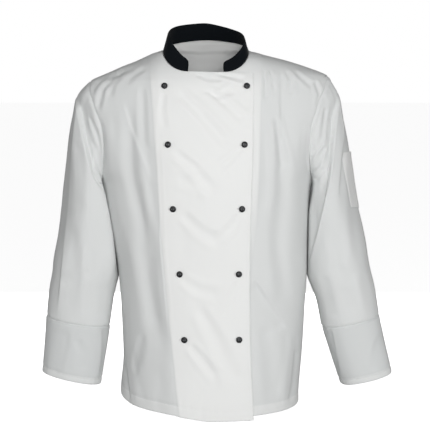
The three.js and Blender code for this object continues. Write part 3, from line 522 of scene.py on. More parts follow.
def with_edges(places):
    """Adds close places beside both ends, for seams and rolled edges."""
    first, last = places[1] - places[0], places[-1] - places[-2]
    near = [places[0] + 0.12 * first, places[0] + 0.4 * first]
    far = [places[-1] - 0.4 * last, places[-1] - 0.12 * last]
    return np.sort(np.concatenate([places, near, far]))


def edge_distance(points, side):
    """Distance along the cloth from one of its four borders."""
    axis = 1 if side in ("first_column", "last_column") else 0
    steps = np.linalg.norm(np.diff(points, axis=axis), axis=-1)
    pad = [(0, 0), (0, 0)]
    pad[axis] = (1, 0)
    forward = np.pad(np.cumsum(steps, axis=axis), pad)
    if side.startswith("first"):
        return forward
    return (forward[:, -1:] if axis == 1 else forward[-1:, :]) - forward


def borders(points):
    """Distances from the first and last column and the first and last row."""
    sides = ("first_column", "last_column", "first_row", "last_row")
    return [edge_distance(points, side) for side in sides]


ROWS = with_edges(spread([0, 1, 2, ARMPIT_ROW, SHOULDER_ROW, NECK_ROW], [8, 1, 136, 74, 32]))
FRONT_COLUMNS = with_edges(spread([0, FACING_COLUMN, COLLAR_END_COLUMN, FREE_EDGE_COLUMN], [54, 20, 34]))
BACK_COLUMNS = with_edges(spread([-BACK_HALF_STEPS, 0, BACK_HALF_STEPS], [86, 86]))


def uneven(x, z, seed, layers):
    noise = [deep * smooth_noise(x / wide, z / tall, seed + i) for i, (wide, tall, deep) in enumerate(layers)]
    return sum(noise)


def sunk(distance, deep=SEAM_SINK, reach=SEAM_REACH):
    return -deep * bell(distance, reach)


def pucker(distance, along, seed, deep=0.35, reach=9):
    """Small uneven gathers beside a sewn line."""
    long = smooth_noise(along / 7.5, along / 53, seed)
    wave = long + 0.5 * smooth_noise(along / 3.9, 0 * along, seed + 1)
    return deep * wave * bell(distance, reach)


def hem_seam(from_hem, along, seed):
    """The sunk and gathered line where the jacket's turned hem is sewn."""
    distance = from_hem - HEM_DEEP
    return sunk(distance, *HEM_LINE) + pucker(distance, along, seed, 0.55, 13)


def dress_body(points, normals, folds, seed, from_seam):
    """How far the body's cloth moves out: its creases, soft unevenness and flatter shoulders."""
    x, z = points[..., 0], points[..., 2]
    level = np.abs(normals[..., 1])
    move = fold_move(folds, x, z) * ease(level * 2) * ease(from_seam / 12)
    # Beside the sleeves the body only sinks
    beside = ease((1 - level) / 0.5) * ease((ARMPIT + 30 - z) / 30)
    move = np.where(move > 0, move * (1 - beside), move)
    on_top = 1.6 * ease(normals[..., 2] * 1.6) * ease((z + 90) / 50)
    soft = uneven(x, z, seed, BODY_UNEVEN) * mix(SIDE_UNEVEN, 1, level**2)
    return move + soft * ease(from_seam / 5) - on_top


def cloth_front(name):
    z, angle, lift = front_grid(name, ROWS, FRONT_COLUMNS)
    normals = body_normal(z, angle)
    points = body_point(z, angle)
    lapped = name == "right"
    seam, free, hem, top = borders(points)
    x = points[..., 0]
    inwards = (x - lines[name + "_facing"](z)) * (1 if lapped else -1)
    double = ease(inwards / 1.6 + 0.5)
    seed = SEEDS["front"]
    dressed = dress_body(points, normals, FRONT_FOLDS, seed, seam)
    if lapped:
        # The lap is pressed in a little at its buttons
        for stud_z, *stud_places in STUDS:
            for stud_x in stud_places:
                dressed -= 0.7 * bell(np.hypot(x - stud_x, points[..., 2] - stud_z), 9)
    else:
        # What lies under the lap keeps clear of it
        dressed -= 0.8 * ease((lines["lap_edge"](z) + 6 - x) / 8)
    move = lift * 0.8 + dressed
    move += sunk(seam) + pucker(seam, z, seed + 5, 0.3)
    move += hem_seam(hem, x, seed + 6)
    neck_seam = sunk(top, *NECK_SEAM) + pucker(top, x, seed + 7, 0.3, 8)
    move += np.where(FRONT_COLUMNS <= COLLAR_END_COLUMN, neck_seam, 0)
    move += sunk(free - 7, *EDGE_LINE) + pucker(free - 7, z, seed + 8, 0.3, 8)
    move += 0.35 * double
    points = points + normals * move[..., None]
    thick = SHELL + (DOUBLED - SHELL) * np.clip(double + (hem < HEM_DEEP), 0, 1)
    # The doubled fronts are painted duller on the shoulder tops as painted shade, and the left one is painted
    # darker lower down too as the lap's painted shadow
    height = points[..., 2]
    band_tone_painted_shade = TONE_DOUBLED if lapped else mix(TONE_UNDER, TONE_UNDER_PAINTED_SHADOW, ease((-260 - height) / 240))
    band_tone_painted_shade = mix(band_tone_painted_shade, TONE_SHOULDER_PAINTED_SHADE, ease((height + 84) / 56))
    bright = np.maximum(mix(TONE_SINGLE, band_tone_painted_shade, double), TONE_HEM * ease((HEM_DEEP + 1 - hem) / 2))
    return points, thick, bright


def cloth_back():
    z, angle = back_grid(ROWS, BACK_COLUMNS)
    normals = body_normal(z, angle)
    points = body_point(z, angle)
    first, last, hem, top = borders(points)
    seed = SEEDS["back"]
    move = dress_body(points, normals, BACK_FOLDS, seed, np.minimum(first, last))
    move += sunk(first) + sunk(last) + pucker(first, z, seed + 4, 0.3) + pucker(last, z, seed + 5, 0.3)
    move += hem_seam(hem, points[..., 0], seed + 6)
    move += sunk(top, *NECK_SEAM)
    points = points + normals * move[..., None]
    thick = SHELL + (DOUBLED - SHELL) * (hem < HEM_DEEP)
    return points, thick, mix(TONE_SINGLE, TONE_HEM, ease((HEM_DEEP + 1 - hem) / 2))


# How far a sleeve's inner edge reaches over the body's side: depth below the neck, reach
OVER = np.array([
    (225, 0), (255, 8), (290, 14), (330, 16), (380, 17), (420, 14), (450, 7), (480, 0),
], float)

# How far a sleeve's outer side stands out: height, reach up and down, at the right, at the left
STANDS_OUT = [(-250, 150, -0.3, -4.0), (-94, 24, 5, 4), (-308, 64, 5.5, 0), (-428, 34, -2.6, -2.8)]

# Where a sleeve's inner front edge is, in degrees of turn, and its share of that reach
FRONT_INNER_EDGE = {"right": (306, 0.85), "left": (54, 0.1)}

BESIDE_BODY = 1.9  # the gap kept between a sleeve and the body's side
SLEEVE_SQUARE = 2.15  # squareness of a sleeve's section
ARM_RADIUS = 60
COLUMN_STEP = 3.0  # how far apart a sleeve's columns are, about


def beside_body(name, points):
    """How far places of a sleeve are from the body's side."""
    x, y, z = points[..., 0], points[..., 1], points[..., 2]
    depth = np.where(y < 0, body["front"](z), body["back"](z))
    square = body["square"](z)
    wall = body[name](z) * np.maximum(1 - np.minimum(np.abs(y) / depth, 1) ** square, 0) ** (1 / square)
    return x * SIDES[name]["sign"] - wall


def clear_of_body(name, points, from_seam):
    """Below the armpit a sleeve rests beside the body and never reaches into it."""
    short = BESIDE_BODY * ease((from_seam - 4) / 26) - beside_body(name, points)
    push = np.maximum(short, 0) * ease((ARMPIT + 12 - points[..., 2]) / 24)
    points[..., 0] += SIDES[name]["sign"] * push
    return points


def share_edge(one, other):
    """Two pieces that are sewn together run through the same places along their seam."""
    middle = (one + other) / 2
    one[...] = middle
    other[...] = middle


def arm_section(name, z, turn):
    """A sleeve's surface; turn runs counter-clockwise from above, from beside the body."""
    arm = arms[name]
    sign = SIDES[name]["sign"]
    tilt, turned = np.radians(arm["tilt"](z)), sign * np.radians(arm["turned_in"](z))
    level = np.cos(tilt)
    across = np.stack([level * np.cos(turned), -level * np.sin(turned), sign * np.sin(tilt)], -1)
    backwards = np.stack([np.sin(turned), np.cos(turned), 0 * turned], -1)
    start = 0 if name == "right" else np.pi
    deep = arm["deep"](z) * swelled(np.sin(start + turn), SLEEVE_SQUARE)
    half = arm["half"](z) * swelled(np.cos(start + turn), SLEEVE_SQUARE)
    centre = np.stack([arm["x"](z) + 0 * turn, arm["y"](z) + 0 * turn, z + 0 * turn], -1)
    return centre + backwards * deep[..., None] + across * half[..., None]


def sleeve_grid(name, armhole, turns, cap_places, arm_heights):
    """A sleeve's places from the cuff's seam up to its armhole."""
    sign = SIDES[name]["sign"]
    end = arm_section(name, CAP_END + 0 * turns, turns)
    lower = arm_section(name, CAP_END - 20 + 0 * turns, turns)
    above = (1 - np.cos(turns)) / 2
    length = np.linalg.norm(armhole - end, axis=-1, keepdims=True)
    outwards = mix(0.35, SIDES[name]["swing"], above)
    leave = unit(np.stack([sign * outwards, 0 * turns, -0.8 + 0 * turns], -1)) * length
    arrive = unit(lower - end) * length * 0.8
    rings = []
    for t in cap_places:
        rings.append(mix(armhole, end, ease(t)) + leave * t * (1 - t) ** 2 + arrive * t * t * (t - 1))
    for z in arm_heights:
        rings.append(arm_section(name, z + 0 * turns, turns))
    return np.array(rings[::-1])


def dress_sleeve(name, points, normals, turns, seed):
    """How far a sleeve's cloth moves out, and its move towards and over the body's side."""
    x, z = points[..., 0], points[..., 2]
    sign = SIDES[name]["sign"]
    front, behind = ease(-normals[..., 1] * 2.2 + 0.25), ease(normals[..., 1] * 2.2 + 0.25)
    move = fold_move(SLEEVE_FRONT_FOLDS, x, z) * front + fold_move(SLEEVE_BACK_FOLDS, x, z) * behind
    around = np.arctan2(normals[..., 1], normals[..., 0]) * ARM_RADIUS
    move = move + uneven(around, z, seed, SLEEVE_UNEVEN)
    outwards = np.maximum(normals[..., 0] * sign, 0)
    for height, reach, at_right, at_left in STANDS_OUT:
        far = at_right if name == "right" else at_left
        move += far * outwards * bell(z - height, reach)
    # The inner front edge lies forward over the body's side, the rear one closes in behind
    centre, part = FRONT_INNER_EDGE[name]
    forward = bell(turns - np.radians(centre), np.radians(22)) * part
    from_inside = np.where(turns > np.pi, turns - 2 * np.pi, turns) * -sign
    rear = bell(from_inside - np.radians(12), np.radians(20))
    over = np.interp(-z, OVER[:, 0], OVER[:, 1])
    across = np.array([-sign, -0.3, 0]) * (over * forward)[..., None]
    across = across + np.array([-sign, 0.15, 0]) * (1.1 * over * rear)[..., None]
    return move, across


def armhole_ring(name, front, back):
    """The armhole's places on the sewn body, counter-clockwise from above from the armpit."""
    inside = (ROWS >= ARMPIT_ROW - TINY) & (ROWS <= SHOULDER_ROW + TINY)
    places = ROWS[inside] - ARMPIT_ROW
    front_edge, back_edge = front[inside, 0], back[inside, -1 if name == "right" else 0]
    climb, descend = (back_edge, front_edge) if name == "right" else (front_edge, back_edge)
    ring = np.concatenate([climb[:-1], descend[:0:-1]])
    steps = np.concatenate([places[:-1], ARM_POINTS - places[:0:-1]])
    return ring, steps * 2 * np.pi / ARM_POINTS


CAP_PLACES = with_edges(np.linspace(0, 1, 66))
BESIDE_CUFF = [CUFF_SEAM + 0.5, CUFF_SEAM + 1.5]
ARM_HEIGHTS = np.sort(np.append(np.linspace(CAP_END, CUFF_SEAM, 84)[1:], BESIDE_CUFF))[::-1]


def cloth_sleeve(name, armhole, turns):
    smooth = sleeve_grid(name, armhole, turns, CAP_PLACES, ARM_HEIGHTS)
    normals = grid_normals(smooth, True)
    from_seam = edge_distance(smooth, "last_row")
    from_cuff = edge_distance(smooth, "first_row")
    along = (np.arange(smooth.shape[1]) * COLUMN_STEP)[None, :] + 0 * from_seam
    seed = SEEDS["sleeve_" + name]
    move, across = dress_sleeve(name, smooth, normals, turns, seed)
    # Its creases die out where it lies against the body
    below = ease((ARMPIT + 24 - smooth[..., 2]) / 36)
    move *= ease(from_seam / 14) * mix(1, ease((beside_body(name, smooth + across) - 1) / 12), below)
    move += sunk(from_cuff, *ARM_SEAM) + pucker(from_cuff, along, seed + 4, 0.5, 12)
    # The cap stands up a little beside its seam, where its fullness is eased in
    move += 1.1 * bell(from_seam - 6, 4.5) * ease(from_seam / 4)
    move += pucker(from_seam - 8, along, seed + 5, 0.6, 12) * ease(from_seam / 6)
    return clear_of_body(name, smooth + normals * move[..., None] + across, from_seam)


def cloth_cuff(name, turns):
    hem = SLEEVES[name][:, 0].min()
    heights = with_edges(np.linspace(hem, CUFF_SEAM, 40))
    smooth = np.array([arm_section(name, z + 0 * turns, turns) for z in heights])
    normals = grid_normals(smooth, True)
    from_seam = edge_distance(smooth, "last_row")
    from_hem = edge_distance(smooth, "first_row")
    along = (np.arange(smooth.shape[1]) * COLUMN_STEP)[None, :] + 0 * from_seam
    seed = SEEDS["cuff_" + name]
    move, _ = dress_sleeve(name, smooth, normals, turns, seed)
    move *= 0.8 * ease(from_seam / 8)
    move += sunk(from_seam, *ARM_SEAM) + pucker(from_seam, along, seed + 4, 0.4, 10)
    from_line = from_hem - CUFF_HEM_DEEP
    move += sunk(from_line, *CUFF_LINE) + pucker(from_line, along, seed + 5, 0.45, 7)
    thick = SHELL + (DOUBLED - SHELL) * (from_hem < CUFF_HEM_DEEP)
    tone = mix(TONE_CUFF, TONE_CUFF_HEM, ease((CUFF_HEM_DEEP + 1 - from_hem) / 2))
    return smooth + normals * move[..., None], thick, tone


def collar_grid(neckline, shares):
    """The collar's places above the neckline, which runs from its left end to its right."""
    reached = lengths_along(neckline)
    run = np.gradient(neckline, axis=0)
    run[:, 2] = 0
    run = unit(run)
    inwards = np.stack([-run[:, 1], run[:, 0], 0 * run[:, 0]], -1)
    facing = np.where(inwards[:, 1] > 0, COLLAR_LEAN["front"], COLLAR_LEAN["back"])
    lean = np.radians(mix(COLLAR_LEAN["side"], facing, inwards[:, 1] ** 2))[:, None]
    up = np.array([0, 0, 1.0]) * np.cos(lean) + inwards * np.sin(lean)
    from_end = np.minimum(reached, reached[-1] - reached)
    missing = np.maximum(COLLAR_CORNER - from_end, 0)
    cut = COLLAR_CORNER - np.sqrt(np.maximum(COLLAR_CORNER**2 - missing**2, 0))
    # It stands lower on the left, and near both of its ends
    settled = ease((neckline[:, 0] + 10) / (NECK_HALF + 10))
    taper = np.maximum(1 - from_end / COLLAR_TAPER, 0) ** 1.4
    tall = mix(COLLAR_TALL, COLLAR_TALL_LEFT, settled) - taper * mix(12, 9, settled) - cut * 0.9
    return neckline[None] + up[None] * (shares[:, None] * tall[None])[..., None]


def colour_mesh(obj, values):
    """Writes the attribute that the finishes read as a share between their two tints."""
    layer = obj.data.attributes.new("tone_and_painted_light", "FLOAT", "POINT")
    layer.data.foreach_set("value", np.asarray(values, np.float32).ravel())


def shell(name, outer, thick, bright, closed, round_edges=(), normals=None, inside=None):
    """A thin closed shell of cloth from a grid of its outer places."""
    rows, columns = outer.shape[:2]
    normals = grid_normals(outer, closed) if normals is None else normals
    outer = outer.copy()
    thick = np.broadcast_to(thick, (rows, columns)).astype(float)
    inner = outer - normals * thick[..., None]
    for side in round_edges:
        distance = edge_distance(outer, side)
        roll = (thick * EDGE_ROUND) * np.clip(1 - distance / thick, 0, 1) ** 2
        outer = outer - normals * roll[..., None]
        inner = inner + normals * roll[..., None] * 0.8
    points = np.concatenate([outer.reshape(-1, 3), inner.reshape(-1, 3)]) * MM
    ids = np.arange(rows * columns).reshape(rows, columns)
    if closed:
        ids = np.concatenate([ids, ids[:, :1]], 1)
    other = ids + rows * columns
    low_left, low_right = ids[:-1, :-1], ids[:-1, 1:]
    high_right, high_left = ids[1:, 1:], ids[1:, :-1]
    # Each cell is split across its shorter way
    flat = outer.reshape(-1, 3)
    rising = np.linalg.norm(flat[low_left] - flat[high_right], axis=-1)
    falling = np.linalg.norm(flat[low_right] - flat[high_left], axis=-1)
    straight = (rising <= falling).ravel()
    a, b, c, d = (v.ravel() for v in (low_left, low_right, high_right, high_left))
    first = np.where(straight[:, None], np.stack([a, b, c], 1), np.stack([a, b, d], 1))
    second = np.where(straight[:, None], np.stack([a, c, d], 1), np.stack([b, c, d], 1))
    faces = [first, second, first[:, ::-1] + rows * columns, second[:, ::-1] + rows * columns]

    def wall(edge, edge_inner):
        p, q, r, s = edge[:-1], edge[1:], edge_inner[1:], edge_inner[:-1]
        faces.append(np.stack([q, p, s], 1))
        faces.append(np.stack([q, s, r], 1))

    wall(ids[0], other[0])
    wall(ids[-1][::-1], other[-1][::-1])
    if not closed:
        wall(ids[:, 0][::-1], other[:, 0][::-1])
        wall(ids[:, -1], other[:, -1])
    bright = np.broadcast_to(bright, (rows, columns))
    obj = mesh_object(name, points, np.concatenate(faces))
    colour_mesh(obj, np.concatenate([bright.ravel(), (bright if inside is None else inside).ravel()]))
    return obj, outer, normals


def mesh_object(name, points, faces):
    mesh = bpy.data.meshes.new(name)
    mesh.vertices.add(len(points))
    mesh.vertices.foreach_set("co", np.asarray(points, np.float32).ravel())
    mesh.loops.add(faces.size)
    mesh.loops.foreach_set("vertex_index", np.asarray(faces, np.int32).ravel())
    mesh.polygons.add(len(faces))
    size = faces.shape[1]
    mesh.polygons.foreach_set("loop_start", np.arange(0, faces.size, size, dtype=np.int32))
    mesh.update(calc_edges=True)
    mesh.validate()
    mesh.shade_smooth()
    obj = bpy.data.objects.new(name, mesh)
    bpy.context.scene.collection.objects.link(obj)
    return obj


def on_grid(grid, row, column):
    """Places between a grid's points, at fractional rows and columns."""
    i = np.clip(np.floor(row).astype(int), 0, grid.shape[0] - 2)
    j = np.clip(np.floor(column).astype(int), 0, grid.shape[1] - 2)
    u, v = (row - i)[:, None], (column - j)[:, None]
    low = mix(grid[i, j], grid[i, j + 1], v)
    high = mix(grid[i + 1, j], grid[i + 1, j + 1], v)
    return mix(low, high, u)


def line_at(grid, side, distance, start=0.0, end=1.0):
    """A line that keeps one distance from a border of the grid, as fractional places."""
    away = edge_distance(grid, side)
    upright = side in ("first_column", "last_column")
    away = away if upright else away.T
    sign = 1 if side.startswith("first") else -1
    places = np.arange(away.shape[1])
    across = np.array([np.interp(sign * distance, sign * line, places) for line in away])
    last = len(away) - 1
    keep = slice(int(start * last), int(end * last) + 1)
    along = np.arange(len(away), dtype=float)[keep]
    return (along, across[keep]) if upright else (across[keep], along)


def stitches(path, normals, pitch=STITCH_PITCH, long=STITCH, wide=THREAD):
    """Short threads along a path, as points and triangles."""
    reached = lengths_along(path)
    places = np.arange(pitch / 2, reached[-1], pitch)
    start = places_along(path, reached, places - long / 2)
    end = places_along(path, reached, places + long / 2)
    middle = places_along(path, reached, places)
    out = unit(places_along(normals, reached, places))
    side = unit(np.cross(end - start, out)) * wide
    # Each thread is a thin rhomb: its start, four places round its middle, its end
    ring = [middle + out * wide * 1.1, middle + side, middle - out * wide * 0.6, middle - side]
    points = np.stack([start - out * wide * 0.4] + ring + [end - out * wide * 0.4], 1)
    pattern = np.array([
        (0, 2, 1), (0, 3, 2), (0, 4, 3), (0, 1, 4), (5, 1, 2), (5, 2, 3), (5, 3, 4), (5, 4, 1),
    ])
    faces = (pattern[None] + 6 * np.arange(len(places))[:, None, None]).reshape(-1, 3)
    return points.reshape(-1, 3), faces


def joined(parts):
    """The points and faces of several parts as one."""
    starts = np.cumsum([0] + [len(points) for points, _ in parts])
    faces = [own + start for (_, own), start in zip(parts, starts)]
    return np.concatenate([points for points, _ in parts]), np.concatenate(faces)


def sew(name, grid, normals, seams):
    """One mesh with the threads of several lines on a grid."""
    points, faces = joined([stitches(on_grid(grid, *seam), on_grid(normals, *seam)) for seam in seams])
    return mesh_object(name, points * MM, faces)


# Finishes

def new_material(name, settings):
    """A material and its node tree, with constants on its shader's own sockets."""
    material = bpy.data.materials.new(name)
    material.use_nodes = True
    for socket, value in settings.items():
        material.node_tree.nodes["Principled BSDF"].inputs[socket].default_value = value
    return material, material.node_tree.nodes, material.node_tree.links


def weave_bump(nodes, links, scale, strength):
    """Fine threads and slight unevenness as a bump in the object's own space."""
    place = nodes.new("ShaderNodeTexCoord")
    noise = nodes.new("ShaderNodeTexNoise")
    noise.inputs["Scale"].default_value = scale
    noise.inputs["Detail"].default_value = 4
    noise.inputs["Roughness"].default_value = 0.65
    links.new(place.outputs["Object"], noise.inputs["Vector"])
    bump = nodes.new("ShaderNodeBump")
    bump.inputs["Strength"].default_value = strength
    bump.inputs["Distance"].default_value = 0.0004
    links.new(noise.outputs["Fac"], bump.inputs["Height"])
    links.new(bump.outputs["Normal"], nodes["Principled BSDF"].inputs["Normal"])


def cloth_finish(name, settings, scale, strength, tints=()):
    """A finish with its weave. Two tints are mixed by a share that the mesh carries as an attribute: the
    cloth's tone with its painted shade and painted light, or a stud's painted highlight.
    """
    material, nodes, links = new_material(name, settings)
    weave_bump(nodes, links, scale, strength)
    if tints:
        layer = nodes.new("ShaderNodeAttribute")
        layer.attribute_name = "tone_and_painted_light"
        tint = nodes.new("ShaderNodeMix")
        tint.data_type = "RGBA"
        tint.inputs["A"].default_value = tints[0]
        tint.inputs["B"].default_value = tints[1]
        links.new(layer.outputs["Fac"], tint.inputs["Factor"])
        links.new(tint.outputs["Result"], nodes["Principled BSDF"].inputs["Base Color"])
    return material


def thread(name, colour):
    return cloth_finish(name, {"Base Color": (*colour, 1), "Roughness": 0.7}, 3000, 0.3)


WHITE = cloth_finish(
    "white_cloth", {"Roughness": 0.92, "Specular IOR Level": 0.2, "Sheen Weight": 0.08}, 900, 0.25,
    tints=((0.58, 0.60, 0.60, 1), (0.82, 0.825, 0.815, 1)))
BLACK = cloth_finish(
    "black_cloth", {"Base Color": (0.0026, 0.0042, 0.0062, 1), "Roughness": 0.85,
                    "Specular IOR Level": 0.12, "Sheen Weight": 0.02}, 1100, 0.5)
# The black plastic's lighter tint is a painted highlight, laid in the studs' two hollows
PLASTIC = cloth_finish(
    "black_plastic", {"Roughness": 0.38}, 200, 0.05,
    tints=((0.004, 0.0045, 0.006, 1), (0.10, 0.105, 0.11, 1)))
WHITE_THREAD = thread("white_thread", (0.74, 0.75, 0.745))
GREY_THREAD = thread("grey_thread", (0.42, 0.43, 0.43))
BLACK_THREAD = thread("black_thread", (0.012, 0.014, 0.017))


def finish_piece(obj, node, material):
    obj.data.materials.append(material)
    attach(obj, "root")
    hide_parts(node)


def flip(grid):
    return grid[:, ::-1]


# The sewn body

right, right_thick, right_bright = cloth_front("right")
left, left_thick, left_bright = cloth_front("left")
back, back_thick, back_bright = cloth_back()
beside_arm = (ROWS > ARMPIT_ROW + TINY) & (ROWS < SHOULDER_ROW - TINY)
for j in np.flatnonzero(~beside_arm):
    share_edge(right[j, 0], back[j, -1])
    share_edge(left[j, 0], back[j, 0])
rings = {"right": armhole_ring("right", right, back), "left": armhole_ring("left", left, back)}
sleeve_points = {name: cloth_sleeve(name, *rings[name]) for name in SIDES}
cuff_points = {name: cloth_cuff(name, rings[name][1]) for name in SIDES}
for name in SIDES:
    share_edge(sleeve_points[name][0], cuff_points[name][0][-1])

shells = {}
shells["front_right"] = shell("cloth_front_right", right, right_thick, right_bright, False,
                              ("last_column", "first_row"))
shells["front_left"] = shell("cloth_front_left", flip(left), flip(left_thick), flip(left_bright), False,
                             ("first_column", "first_row"))
# Painted light: inside, the back's cloth is painted lighter towards the neck, where light falls in through
# the neck opening
inside_painted_light = back_bright + 1.1 * ease((back[..., 2] + 120) / 110)
shells["back"] = shell("cloth_back", back, back_thick, back_bright, False, ("first_row",), inside=inside_painted_light)
for name in SIDES:
    shells["sleeve_" + name] = shell("cloth_sleeve_" + name, sleeve_points[name], SHELL, TONE_SINGLE, True)
    cuff, thick, bright = cuff_points[name]
    shells["cuff_" + name] = shell("cloth_cuff_" + name, cuff, thick, bright, True, ("first_row",))

# Collar: on the sewn neckline, from its left end round the back to its right end
top_left, top_right, top_back = left[-1], right[-1], back[-1]
in_collar = FRONT_COLUMNS <= COLLAR_END_COLUMN + TINY
neckline = np.concatenate([top_left[in_collar][::-1], top_back[1:-1], top_right[in_collar]])
reached = lengths_along(neckline)
neck_length = reached[-1]
near_end = np.array([0.4, 0.9, 1.6, 2.4, 3.3, 4.4, 5.6, 7])
even = np.arange(9, neck_length - 8, COLLAR_STEP)
along_neck = np.concatenate([[0], near_end, even, neck_length - near_end[::-1], [neck_length]])
neckline = places_along(neckline, reached, along_neck)
for _ in range(COLLAR_SMOOTHINGS):
    neckline[1:-1] = (neckline[:-2] + 2 * neckline[1:-1] + neckline[2:]) / 4
collar_points = collar_grid(neckline, with_edges(np.linspace(0, 1, 18)))
# One direction for all rows, and in its rounded ends that of the column before them
middle_normal = grid_normals(collar_points, False)[COLLAR_MIDDLE_ROW]
rounded = len(near_end) + 1
middle_normal[:rounded], middle_normal[-rounded:] = middle_normal[rounded], middle_normal[-rounded - 1]
collar_normals = np.broadcast_to(middle_normal, collar_points.shape)
from_neck = edge_distance(collar_points, "first_row")
from_top = edge_distance(collar_points, "last_row")
along = along_neck[None, :] + 0 * from_neck
seed = SEEDS["collar"]
collar_move = 0.5 * smooth_noise(along / 26, from_neck / 30, seed)
collar_move += pucker(from_neck, along, seed + 1, 0.25, 6)
collar_move += sunk(from_neck, 0.8, 2.2) + sunk(from_top - COLLAR_LINE, 0.25, 1.6)
collar_points = collar_points + collar_normals * collar_move[..., None]
shells["collar"] = shell("cloth_collar", collar_points, COLLAR_SHELL, 0.0, False,
                        ("last_row", "first_column", "last_column"), collar_normals)

for node, (obj, _, _) in shells.items():
    slot, material = ("black_cloth", BLACK) if node == "collar" else ("white_cloth", WHITE)
    finish_piece(obj, node, material)

# Pen pocket on the left sleeve's own places, moved out
_, left_sleeve, left_normals = shells["sleeve_left"]
turns = rings["left"][1] * ARM_POINTS / (2 * np.pi)
up = with_edges(np.linspace(0, 1, 44))
across = with_edges(np.linspace(0, 1, 32))
share_up, share_round = np.meshgrid(up, across, indexing="ij")
pocket_turns = mix(*POCKET_STARTS, share_up) + POCKET_TURN * share_round
at_column = np.interp(pocket_turns, turns, np.arange(len(turns)))
# Its top and bottom run level round the sleeve
heights = mix(POCKET_BOTTOM, POCKET_TOP, share_up)
row_ids = np.arange(len(left_sleeve))
at_row = np.empty_like(at_column)
for j in range(at_column.shape[1]):
    line = on_grid(left_sleeve, row_ids.astype(float), np.full(len(row_ids), at_column[:, j].mean()))
    at_row[:, j] = np.interp(heights[:, j], line[:, 2] + POCKET_SLANT * line[:, 1], row_ids)
pocket_places = (at_row.ravel(), at_column.ravel())
pocket_base = on_grid(left_sleeve, *pocket_places).reshape(*at_row.shape, 3)
pocket_normals = unit(on_grid(left_normals, *pocket_places).reshape(*at_row.shape, 3))
from_first, from_last, from_bottom, from_top = borders(pocket_base)
from_sides = np.minimum(from_first, from_last)
pocket_move = 1.5 + 0.7 * ease(np.minimum(from_sides, from_bottom) / 7)
pocket_move += 0.8 * bell(from_top, 9) * ease(from_sides / 14)
pocket_move += sunk(from_top - POCKET_HEM, 0.3, 1.8)
pocket_move += 0.3 * smooth_noise(at_row / 3, at_column / 4, SEEDS["pen_pocket"])
pocket_points = pocket_base + pocket_normals * pocket_move[..., None]
pocket, pocket_outer, pocket_out = shell("cloth_pen_pocket", pocket_points, SHELL, TONE_DOUBLED, False,
                                         ("first_row", "last_row", "first_column", "last_column"))
finish_piece(pocket, "pen_pocket", WHITE)


# Sewing

def sew_lines(node, grid, normals, wanted):
    return sew("sewing_" + node, grid, normals, [line_at(grid, *want) for want in wanted])


# Sewn lines: the border, the distance from it, and the share of it where the line runs
JACKET_HEM = ("first_row", HEM_DEEP - 1.5)
CUFF_HEM = ("first_row", CUFF_HEM_DEEP - 1.2)
SEWN = {
    "front_right": [JACKET_HEM, ("last_column", 6.5)],
    "front_left": [JACKET_HEM, ("first_column", 6.5)],
    "back": [JACKET_HEM, ("first_column", 5.5, 0.62, 0.86), ("last_column", 5.5, 0.62, 0.86)],
    "cuff_right": [CUFF_HEM, ("last_row", 3.5)],
    "cuff_left": [CUFF_HEM, ("last_row", 3.5)],
    "sleeve_right": [("last_row", 5)],
    "sleeve_left": [("last_row", 5)],
    "collar": [("last_row", COLLAR_LINE), ("first_row", 2.5)],
}
POCKET_SEWN = [("last_row", POCKET_HEM), ("last_row", 2), ("first_column", 1.8), ("last_column", 1.8),
               ("first_row", 1.8)]
sewing = {node: sew_lines(node, *shells[node][1:], wanted) for node, wanted in SEWN.items()}
for node, obj in sewing.items():
    slot, colour = ("black_cloth", BLACK_THREAD) if node == "collar" else ("white_cloth", WHITE_THREAD)
    finish_piece(obj, node, GREY_THREAD if node.startswith("cuff") else colour)
pocket_sewing = sew_lines("pen_pocket", pocket_outer, pocket_out, POCKET_SEWN)
finish_piece(pocket_sewing, "pen_pocket", WHITE_THREAD)


# Studs and buttonholes

def find_on_front(x, z):
    """The place and outward direction of the lap at x and z seen from the front."""
    _, grid, normals = shells["front_right"]
    flat = grid.reshape(-1, 3)
    away = (flat[:, 0] - x) ** 2 + (flat[:, 2] - z) ** 2
    near = np.argsort(away)[:12]
    weight = 1 / (0.5 + away[near])
    weight /= weight.sum()
    place = np.array([x, (flat[near, 1] * weight).sum(), z])
    out = unit((normals.reshape(-1, 3)[near] * weight[:, None]).sum(0))
    return place, out


# A stud's outline: radius and height, from its neck over its rim to the middle of its face
STUD = [(0, 0), (2.6, 0), (2.6, 1.3), (5.4, 1.3), (5.9, 1.5), (6.2, 2.0), (6.25, 2.6), (6.1, 3.2),
        (5.75, 3.75), (5.2, 4.2), (4.7, 4.5), (4.2, 4.72), (3.7, 4.88), (3.2, 5.0), (2.7, 5.08),
        (2.2, 5.14), (1.7, 5.18), (1.2, 5.2), (0.7, 5.2), (0.3, 5.2)]
STUD_SIDES = 56
STUD_GAP = 0.2  # how far off the cloth it is seated


